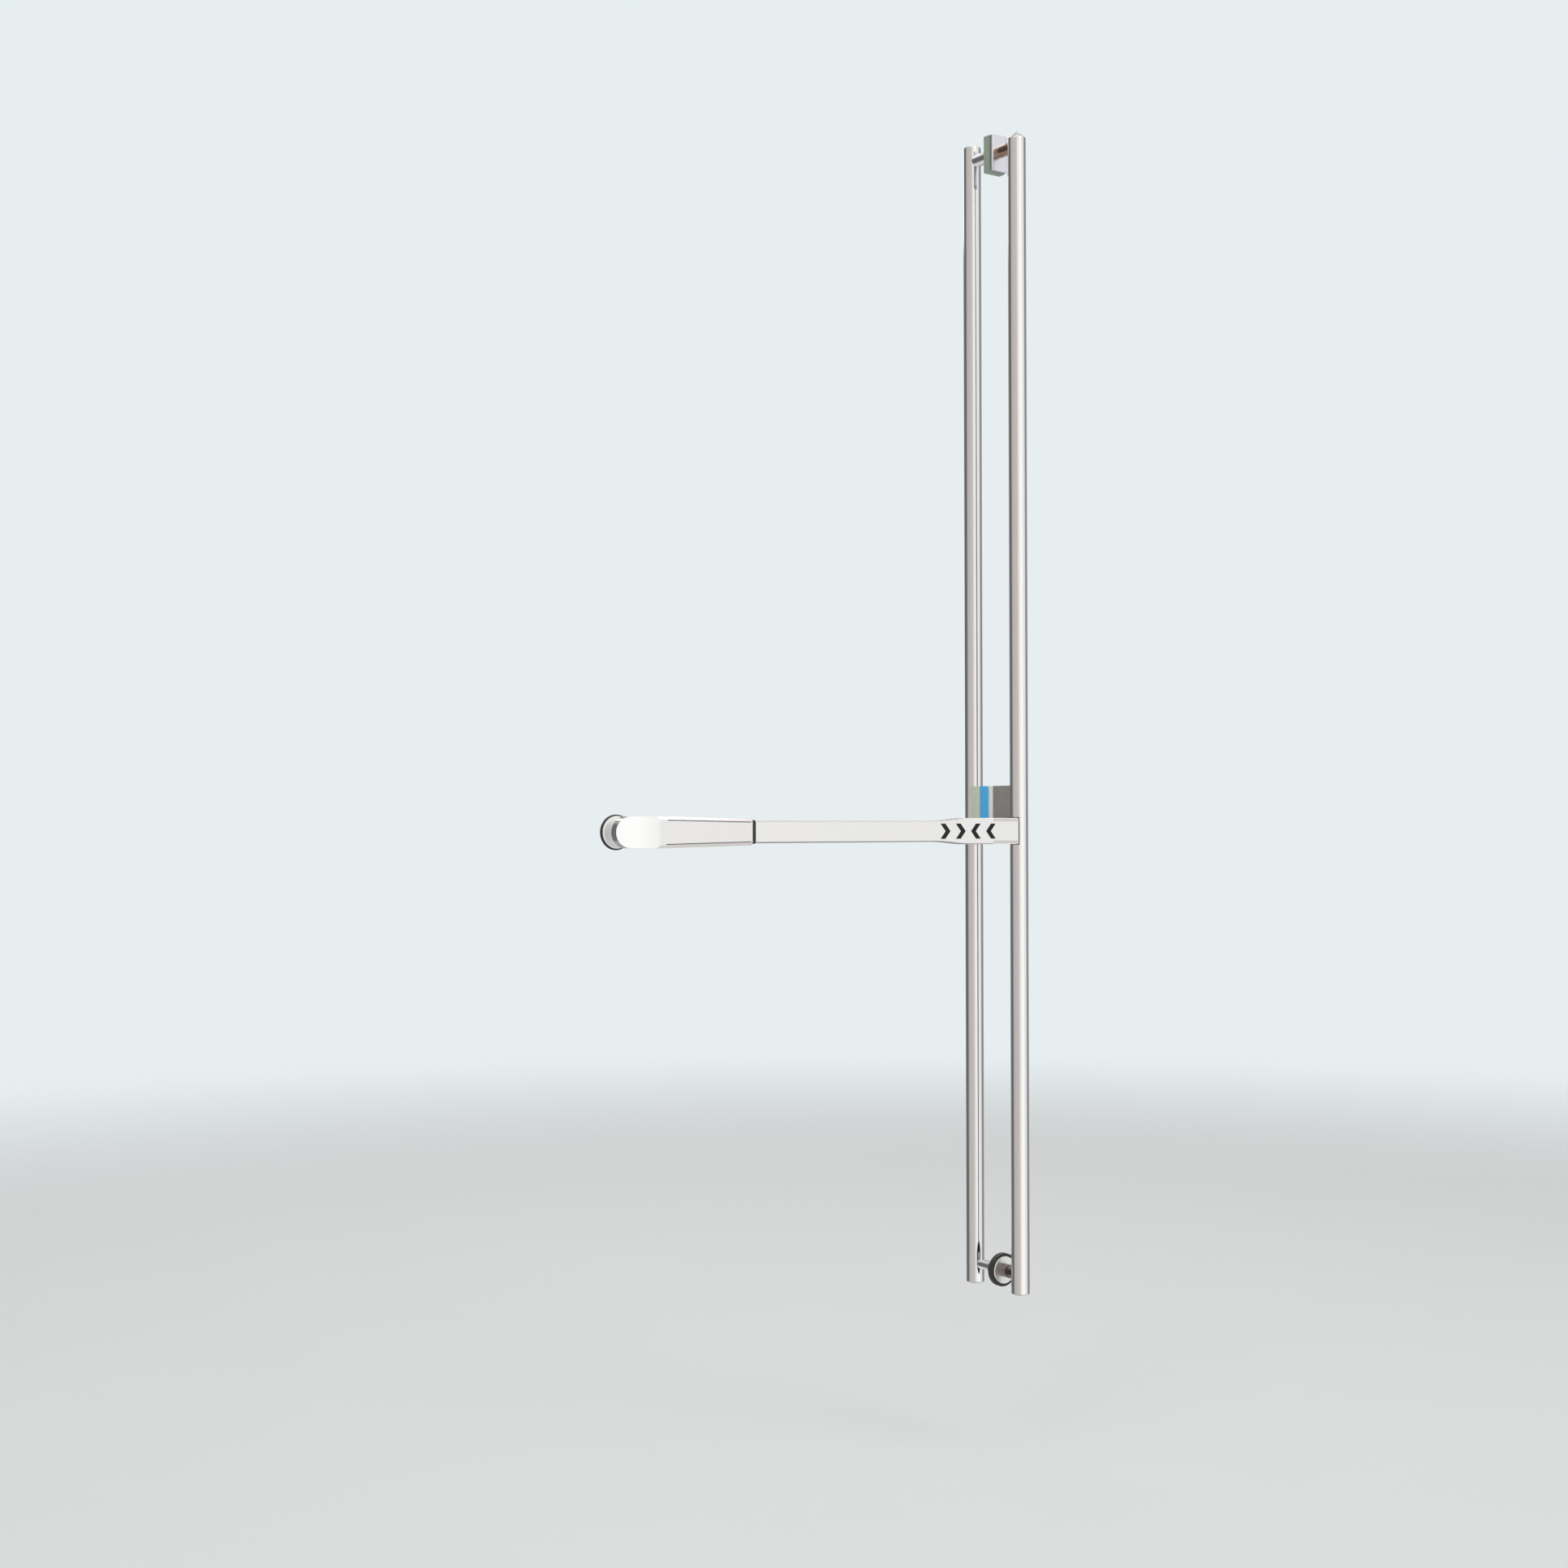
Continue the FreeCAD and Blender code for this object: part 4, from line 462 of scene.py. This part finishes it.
steelTone = {"colour": (0.87, 0.862, 0.85), "shade": (0.80, 0.79, 0.775), "bare": (0.95, 0.945, 0.935)}
darkTone = {"colour": (0.62, 0.615, 0.605), "shade": (0.50, 0.495, 0.485), "bare": (0.80, 0.795, 0.785)}
finishes = {
    "drawnTube": metalFinish("drawnTube", {**steelTone, "stretch": (900.0, 900.0, 8.0), "rough": (0.06, 0.10),
                                           "relief": 0.016, "nickLevel": 0.72}),
    "turnedTop": metalFinish("turnedTop", {**steelTone, "centre": (0.0, 0.0, 1.082), "rough": (0.07, 0.13)}),
    "turnedBottom": metalFinish("turnedBottom", {**steelTone, "centre": (0.0, 0.0, -0.6925),
                                                 "rough": (0.12, 0.20)}),
    "turnedBoss": metalFinish("turnedBoss", {"colour": (0.95, 0.945, 0.935), "shade": (0.90, 0.895, 0.885),
                                             "bare": (0.99, 0.985, 0.975), "centre": (-0.7, 0.0, 0.0),
                                             "rough": (0.36, 0.44), "relief": 0.05, "metallic": 0.25}),
    "collarFace": metalFinish("collarFace", {"colour": (0.84, 0.86, 0.83), "shade": (0.77, 0.80, 0.76),
                                             "bare": (0.93, 0.94, 0.92), "centre": (0.0, 0.0, -0.6925),
                                             "rough": (0.24, 0.34), "relief": 0.06}),
    # top_post and bottom_post are chrome; their brown colour is a painted reflection of a brown surrounding
    "brownReflectionTop": metalFinish("brownReflectionTop", {"colour": (0.40, 0.29, 0.21), "shade": (0.30, 0.21, 0.15),
                                           "bare": (0.60, 0.47, 0.36), "centre": (0.0, 0.0, 1.082),
                                           "rough": (0.14, 0.24)}),
    "brownReflectionBottom": metalFinish("brownReflectionBottom", {"colour": (0.26, 0.21, 0.20), "shade": (0.18, 0.15, 0.145),
                                                 "bare": (0.50, 0.44, 0.41), "centre": (0.0, 0.0, -0.6925),
                                                 "rough": (0.12, 0.22)}),
    "cappedTube": metalFinish("cappedTube", {**steelTone, "stretch": (300.0, 300.0, 2400.0),
                                             "rough": (0.06, 0.12)}),
    "barSatin": metalFinish("barSatin", {"colour": (0.93, 0.925, 0.915), "shade": (0.885, 0.88, 0.868),
                                         "bare": (0.98, 0.975, 0.965), "stretch": (24.0, 2600.0, 2600.0),
                                         "rough": (0.15, 0.22), "relief": 0.06, "anisotropic": 0.3}),
    "armSatin": metalFinish("armSatin", {"colour": (0.91, 0.905, 0.898), "shade": (0.865, 0.86, 0.85),
                                         "bare": (0.98, 0.975, 0.965), "stretch": (24.0, 2600.0, 2600.0),
                                         "rough": (0.15, 0.22), "relief": 0.06, "polishedWall": 0.07}),
    "blockSatin": metalFinish("blockSatin", {"colour": (0.80, 0.79, 0.845), "shade": (0.71, 0.70, 0.765),
                                             "bare": (0.96, 0.955, 0.965), "stretch": (30.0, 1200.0, 1200.0),
                                             "rough": (0.20, 0.28), "relief": 0.02, "nickLevel": 0.73}),
    "turnedSteel": metalFinish("turnedSteel", {**darkTone, "stretch": (1600.0, 60.0, 1600.0),
                                               "rough": (0.22, 0.34), "relief": 0.12}),
    "boltSteel": metalFinish("boltSteel", {"colour": (0.72, 0.71, 0.68), "shade": (0.62, 0.61, 0.58),
                                           "bare": (0.88, 0.875, 0.86), "stretch": (900.0, 900.0, 40.0),
                                           "rough": (0.18, 0.30), "relief": 0.1}),
    "springWire": metalFinish("springWire", {"colour": (0.42, 0.42, 0.43), "shade": (0.30, 0.30, 0.31),
                                             "bare": (0.62, 0.62, 0.63), "stretch": (1200.0, 1200.0, 300.0),
                                             "rough": (0.26, 0.38), "relief": 0.1}),
    "bronze": metalFinish("bronze", {"colour": (0.62, 0.42, 0.20), "shade": (0.48, 0.31, 0.14),
                                     "bare": (0.80, 0.60, 0.34), "stretch": (1500.0, 1500.0, 1500.0),
                                     "rough": (0.30, 0.46), "relief": 0.2}),
    "blackOxide": metalFinish("blackOxide", {"colour": (0.07, 0.07, 0.075), "shade": (0.04, 0.04, 0.045),
                                             "bare": (0.30, 0.30, 0.31), "stretch": (1300.0, 1300.0, 1300.0),
                                             "rough": (0.34, 0.48), "relief": 0.15, "wear": 0.6}),
    "caseGrey": skinFinish("caseGrey", {"colour": (0.30, 0.30, 0.288), "shade": (0.27, 0.27, 0.26),
                                        "bare": (0.50, 0.50, 0.49), "rough": (0.42, 0.55), "grain": 2600.0}),
    "creamNylon": skinFinish("creamNylon", {"colour": (1.0, 0.94, 0.86), "shade": (0.97, 0.90, 0.82),
                                            "bare": (0.95, 0.90, 0.84), "rough": (0.40, 0.52), "glow": 0.15}),
    "blueFilm": skinFinish("blueFilm", {"colour": (0.10, 0.54, 1.0), "shade": (0.09, 0.50, 0.97),
                                        "bare": (0.35, 0.58, 0.80), "rough": (0.22, 0.34), "coat": 0.5,
                                        "grain": 900.0, "relief": 0.1}),
    "sagePolymer": skinFinish("sagePolymer", {"colour": (0.66, 0.74, 0.60), "shade": (0.60, 0.68, 0.55),
                                              "bare": (0.60, 0.64, 0.55), "rough": (0.42, 0.55),
                                              "glow": 0.1}),
    "greenLiner": skinFinish("greenLiner", {"colour": (0.33, 0.42, 0.33), "shade": (0.28, 0.37, 0.28),
                                            "bare": (0.52, 0.60, 0.52), "rough": (0.30, 0.42), "glow": 0.1}),
    "nylon": skinFinish("nylon", {"colour": (0.82, 0.80, 0.73), "shade": (0.75, 0.73, 0.66),
                                  "bare": (0.90, 0.89, 0.84), "rough": (0.38, 0.50), "glow": 0.15}),
    "blackRubber": skinFinish("blackRubber", {"colour": (0.022, 0.022, 0.024), "shade": (0.032, 0.032, 0.034),
                                              "bare": (0.10, 0.10, 0.10), "rough": (0.55, 0.72),
                                              "sheen": 0.15, "relief": 0.3}),
    # arm_line_inlays: a dark grey strip laid in the arm's grooves, a painted shadow line standing for the
    # shade of the bevelled edges
    "shadowLineGrey": skinFinish("shadowLineGrey", {"colour": (0.115, 0.105, 0.10), "shade": (0.15, 0.138, 0.13),
                                            "bare": (0.30, 0.29, 0.28), "rough": (0.36, 0.48),
                                            "specular": 0.3, "grain": 900.0, "relief": 0.1, "wear": 0.2}),
    "blackEnamel": skinFinish("blackEnamel", {"colour": (0.010, 0.009, 0.009), "shade": (0.020, 0.017, 0.017),
                                              "bare": (0.05, 0.05, 0.05), "rough": (0.34, 0.46),
                                              "specular": 0.22, "grain": 700.0, "relief": 0.1, "wear": 0.2}),
}
print("finishes mixed:", len(finishes))

# the finish of every CAD node, also of those that a piece stands for
nodeFinishes = {
    "drawnTube": ("latch_tube", "pull_tube"),
    "cappedTube": ("latch_top_cap", "latch_bottom_plug", "pull_tube_plugs"),
    "turnedTop": ("pull_top_post",),
    "turnedBottom": ("pull_bottom_post",),
    # the posts' brown finishes are a painted reflection on chrome
    "brownReflectionTop": ("top_post",),
    "brownReflectionBottom": ("bottom_post",),
    "collarFace": ("bottom_collar",),
    "turnedBoss": ("boss_body", "boss_flange", "outer_rosette"),
    "barSatin": ("push_bar", "bar_back_plate", "arm_back_plate"),
    "armSatin": ("fixed_arm",),
    "blockSatin": ("top_block",),
    "turnedSteel": ("rod_yoke", "draw_pin", "lower_rod_guide", "bell_crank", "crank_pin", "case_plate_screws",
                    "outer_block_screws", "pull_tube_anchor", "hinge_knuckle", "hinge_pin", "bar_tongue",
                    "pusher_pin", "bar_dowels", "boss_stud", "mid_stud", "top_stud", "bottom_stud",
                    "spring_collar", "latch_rod"),
    "boltSteel": ("latch_bolt",),
    "springWire": ("return_spring",),
    "bronze": ("crank_bush", "hinge_bushes"),
    "blackOxide": ("guide_grub_screws", "case_tube_screws", "post_grub_screws"),
    "caseGrey": ("operator_case", "case_back_plate"),
    "creamNylon": ("glass_spacer",),
    "blueFilm": ("outer_block",),
    "sagePolymer": ("outer_saddle",),
    "greenLiner": ("notch_liner",),
    "nylon": ("upper_rod_guides", "pusher_tip"),
    "blackRubber": ("joint_gasket", "inner_gaskets", "outer_gaskets", "bumper_ring", "boss_seal"),
    "blackEnamel": ("push_mark_infill",),
    # arm_line_inlays carry a painted shadow line in the arm's grooves
    "shadowLineGrey": ("arm_line_inlays",),
}
for finishName, members in nodeFinishes.items():
    for member in members:
        nodes[member].data.materials.clear()
        nodes[member].data.materials.append(finishes[finishName])
left = sorted(set(nodes) - {name for members in nodeFinishes.values() for name in members})
print("CAD nodes given a finish; left over:", left)

# pieces with true rounded edges, which stand for the plainer CAD nodes


meshing = {"onAxis": 1e-7, "largestEase": 0.45, "easeSteps": 4, "facets": 112, "bevelSteps": 3,
           "crispAngle": math.radians(30), "sharpAngle": math.radians(34)}


def easedPath(corners, ease):  # a closed outline with its corners rounded off, save any on the axis
    path = []
    for index, corner in enumerate(corners):
        here = Vector(corner[:2])
        back = Vector(corners[index - 1][:2]) - here
        onward = Vector(corners[(index + 1) % len(corners)][:2]) - here
        wanted = corner[2] if len(corner) > 2 else ease
        reach = min(wanted, back.length * meshing["largestEase"], onward.length * meshing["largestEase"])
        if here.x < meshing["onAxis"]:
            path.append(here)
            continue
        start, end = here + back.normalized() * reach, here + onward.normalized() * reach
        for step in range(meshing["easeSteps"] + 1):
            share = step / meshing["easeSteps"]
            path.append(start * (1 - share) ** 2 + here * (2 * share * (1 - share)) + end * share ** 2)
    return path


def turnedMesh(name, axis, centre, corners, ease):  # a closed shape turned about Y or Z
    built = bmesh.new()
    rings, facets = [], meshing["facets"]
    for point in easedPath(corners, ease):
        ring = []
        for k in range(1 if point.x < meshing["onAxis"] else facets):
            turn = 2 * math.pi * k / facets
            across, up = point.x * math.cos(turn), point.x * math.sin(turn)
            if axis == "y":
                place = (centre.x + across, point.y, centre.z + up)
            else:
                place = (centre.x + across, centre.y + up, point.y)
            ring.append(built.verts.new(place))
        rings.append(ring)
    for ring, after in zip(rings, rings[1:] + rings[:1]):
        if len(ring) == 1 and len(after) == 1:
            continue
        for k in range(facets):
            patch = (ring[k % len(ring)], ring[(k + 1) % len(ring)],
                     after[(k + 1) % len(after)], after[k % len(after)])
            built.faces.new(list(dict.fromkeys(patch)))
    return meshFrom(name, built)


def prismMesh(name, plane, outline, low, high, ease):  # an outline drawn out along the third axis
    built = bmesh.new()
    order = {"xy": (0, 1, 2), "yz": (1, 2, 0)}[plane]
    ends = []
    for level in (low, high):
        ring = []
        for across, up in outline:
            place = [0.0, 0.0, 0.0]
            for letter, value in zip(order, (across, up, level)):
                place[letter] = value
            ring.append(built.verts.new(place))
        ends.append(ring)
    for ring in ends:
        built.faces.new(ring)
    count = len(outline)
    for k in range(count):
        after = (k + 1) % count
        built.faces.new((ends[0][k], ends[0][after], ends[1][after], ends[1][k]))
    bmesh.ops.recalc_face_normals(built, faces=built.faces)
    crisp = [edge for edge in built.edges if edge.calc_face_angle(0.0) > meshing["crispAngle"]]
    bmesh.ops.bevel(built, geom=crisp, offset=ease, segments=meshing["bevelSteps"], profile=0.5,
                    affect="EDGES", clamp_overlap=True)
    return meshFrom(name, built)


def meshFrom(name, built):
    bmesh.ops.recalc_face_normals(built, faces=built.faces)
    mesh = bpy.data.meshes.new(name)
    built.to_mesh(mesh)
    built.free()
    for face in mesh.polygons:
        face.use_smooth = True
    mesh.set_sharp_from_angle(angle=meshing["sharpAngle"])
    return mesh


def fitPiece(name, mesh, look):  # the piece takes its finish, its body and its CAD node
    piece = bpy.data.objects.new(name, mesh)
    bpy.context.scene.collection.objects.link(piece)
    mesh.materials.append(finishes[look["finish"]])
    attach(piece, look["body"])
    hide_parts(look["stands"])
    return piece


def middle(node):  # low corner, high corner, centre and half width
    low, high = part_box(node)
    return low, high, (low + high) / 2, (high.x - low.x) / 2


bossFlange = {"stands": "boss_flange", "body": "root", "slot": "polished_steel", "finish": "turnedBoss",
              "bore": 0.004, "ease": 0.0004}
bossSeal = {"stands": "boss_seal", "body": "root", "slot": "black_rubber", "finish": "blackRubber",
            "slope": 0.0020, "ease": 0.0005}


def turnBossFoot(flange, seal):  # the steel flange and the black seal round it
    low, high, centre, rim = middle(flange["stands"])
    fitPiece("bossFlange", turnedMesh("bossFlange", "y", centre, (
        (flange["bore"], high.y), (flange["bore"], low.y), (rim, low.y), (rim, high.y)),
        flange["ease"]), flange)
    low, high, centre, reach = middle(seal["stands"])
    fitPiece("bossSeal", turnedMesh("bossSeal", "y", centre, (
        (rim, high.y), (rim, low.y), (reach, low.y + seal["slope"]), (reach, high.y)), seal["ease"]), seal)


bossBody = {"stands": "boss_body", "body": "root", "slot": "polished_steel", "finish": "turnedBoss",
            "bore": 0.004, "neck": 0.0016, "neckLong": 0.0018, "ease": 0.0005}


def turnBossBody(look):
    low, high, centre, reach = middle(look["stands"])
    neck, end = reach - look["neck"], low.y + look["neckLong"]
    fitPiece("bossBody", turnedMesh("bossBody", "y", centre, (
        (look["bore"], high.y), (look["bore"], low.y), (neck, low.y), (neck, end), (reach, end),
        (reach, high.y)), look["ease"]), look)


outerRosette = {"stands": "outer_rosette", "body": "root", "slot": "polished_steel", "finish": "turnedBoss",
                "bore": 0.004, "blind": 0.002, "shoulder": 0.004, "ease": 0.0005}


def turnRosette(look):
    low, high, centre, reach = middle(look["stands"])
    floorLevel = high.y - look["blind"]
    fitPiece("outerRosette", turnedMesh("outerRosette", "y", centre, (
        (look["bore"], low.y), (reach, low.y), (reach, high.y, look["shoulder"]), (0.0, high.y),
        (0.0, floorLevel), (look["bore"], floorLevel)), look["ease"]), look)


bottomCollar = {"stands": "bottom_collar", "body": "root", "slot": "polished_steel", "finish": "collarFace",
                "bore": 0.003, "bevel": 0.001, "ease": 0.0004}


def turnCollar(look):
    low, high, centre, reach = middle(look["stands"])
    edge = look["bevel"]
    fitPiece("bottomCollar", turnedMesh("bottomCollar", "y", centre, (
        (look["bore"], high.y), (look["bore"], low.y), (reach - edge, low.y), (reach, low.y + edge),
        (reach, high.y)), look["ease"]), look)


bumperRing = {"stands": "bumper_ring", "body": "root", "slot": "black_rubber", "finish": "blackRubber",
              "lip": 0.0016, "ease": 0.0006}


def mouldBumper(look):
    low, high, centre, reach = middle(look["stands"])
    inner = middle("bottom_collar")[3]
    fitPiece("bumperRing", turnedMesh("bumperRing", "y", centre, (
        (inner, high.y), (inner, low.y), (reach, low.y, look["lip"]), (reach, high.y)), look["ease"]), look)


glassSpacer = {"stands": "glass_spacer", "body": "root", "slot": "cream_polymer", "finish": "creamNylon",
               "ease": 0.0004}
outerBlock = {"stands": "outer_block", "body": "root", "slot": "blue_film", "finish": "blueFilm",
              "ease": 0.0005}
outerSaddle = {"stands": "outer_saddle", "body": "root", "slot": "sage_polymer", "finish": "sagePolymer",
               "ease": 0.0004, "seatSteps": 24}


def shapeMiddleBlocks():  # cream spacer, blue block with its lip, and sage saddle round the outer tube
    low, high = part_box("glass_spacer")
    outline = ((low.x, low.y), (high.x, low.y), (high.x, high.y), (low.x, high.y))
    fitPiece("glassSpacer", prismMesh("glassSpacer", "xy", outline, low.z, high.z, glassSpacer["ease"]),
             glassSpacer)
    lipLow, lipHigh = low.z, high.z
    low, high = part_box("outer_block")
    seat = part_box("outer_gaskets")[1].y
    fitPiece("outerBlock", prismMesh("outerBlock", "yz", (
        (seat, low.z), (high.y, low.z), (high.y, high.z), (seat, high.z), (seat, lipHigh), (low.y, lipHigh),
        (low.y, lipLow), (seat, lipLow)), low.x, high.x, outerBlock["ease"]), outerBlock)
    low, high, _, half = middle("outer_saddle")
    _, _, tubeMiddle, tubeReach = middle("pull_tube")
    outline = [(low.x, low.y), (high.x, low.y)]
    for step in range(outerSaddle["seatSteps"] + 1):
        across = half - 2 * half * step / outerSaddle["seatSteps"]
        outline.append((across, tubeMiddle.y - math.sqrt(tubeReach ** 2 - across ** 2)))
    fitPiece("outerSaddle", prismMesh("outerSaddle", "xy", outline, low.z, high.z, outerSaddle["ease"]),
             outerSaddle)


latchBolt = {"stands": "latch_bolt", "body": "rod", "slot": "bolt_steel", "finish": "boltSteel",
             "spigot": 0.004, "spigotLong": 0.012, "tip": 0.0012, "cone": 0.0049, "ease": 0.0004}
latchCap = {"stands": "latch_top_cap", "body": "root", "slot": "polished_steel", "finish": "cappedTube",
            "bore": 0.00706, "mouth": 0.0079, "cone": 0.0053, "rim": 0.0012, "spigot": 0.0126, "ease": 0.0004}


def turnTopOfLatchTube():  # the cone-tipped bolt and the coned cap that it slides in
    low, high, centre, reach = middle("latch_bolt")
    bolt, shoulder, core = latchBolt, high.z - latchBolt["cone"], low.z + latchBolt["spigotLong"]
    fitPiece("latchBolt", turnedMesh("latchBolt", "z", centre, (
        (0.0, core), (bolt["spigot"], core), (bolt["spigot"], low.z), (reach, low.z), (reach, shoulder),
        (bolt["tip"], high.z), (0.0, high.z)), bolt["ease"]), bolt)
    low, high, centre, reach = middle("latch_top_cap")
    cap, rimTop = latchCap, high.z - latchCap["cone"]
    seat = rimTop - cap["rim"]
    fitPiece("latchCap", turnedMesh("latchCap", "z", centre, (
        (cap["bore"], low.z), (cap["spigot"], low.z), (cap["spigot"], seat), (reach, seat), (reach, rimTop),
        (cap["mouth"], high.z), (cap["bore"], high.z)), cap["ease"]), cap)


returnSpring = {"stands": "return_spring", "body": "root", "slot": "spring_steel", "finish": "springWire",
                "wire": 0.00069, "play": 0.00002, "turns": 14, "deadTurns": 1.0, "lead": 2.1,
                "stepsPerTurn": 30, "facets": 10, "pressedShare": 0.871}


def coilSpring(look):  # wire wound with closed end turns
    low, high, centre, reach = middle(look["stands"])
    wire, turns, dead = look["wire"], look["turns"], look["deadTurns"]
    coil = reach - wire - look["play"]
    bottom, top = low.z + wire, high.z - wire
    lead, steps = wire * look["lead"], turns * look["stepsPerTurn"]
    built = bmesh.new()
    rings = []
    for step in range(steps + 1):
        turn = turns * step / steps
        if turn < dead:
            level = bottom + lead * turn
        elif turn > turns - dead:
            level = top - lead * (turns - turn)
        else:
            share = (turn - dead) / (turns - 2 * dead)
            level = bottom + lead * dead + (top - bottom - 2 * lead * dead) * share
        angle = 2 * math.pi * turn
        outward = Vector((math.cos(angle), math.sin(angle), 0.0))
        spot = Vector((centre.x, centre.y, level)) + outward * coil
        ring = []
        for k in range(look["facets"]):
            lean = 2 * math.pi * k / look["facets"]
            rise = Vector((0.0, 0.0, wire * math.sin(lean)))
            ring.append(built.verts.new(spot + outward * (wire * math.cos(lean)) + rise))
        rings.append(ring)
    for ring, after in zip(rings, rings[1:]):
        for k in range(look["facets"]):
            beside = (k + 1) % look["facets"]
            built.faces.new((ring[k], ring[beside], after[beside], after[k]))
    built.faces.new(rings[0])
    built.faces.new(rings[-1])
    spring = fitPiece("returnSpring", meshFrom("returnSpring", built), look)
    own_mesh(spring)


turnBossFoot(bossFlange, bossSeal)
turnBossBody(bossBody)
turnRosette(outerRosette)
turnCollar(bottomCollar)
mouldBumper(bumperRing)
shapeMiddleBlocks()
turnTopOfLatchTube()
coilSpring(returnSpring)
print("turned and moulded pieces made")

bpy.context.view_layer.update()
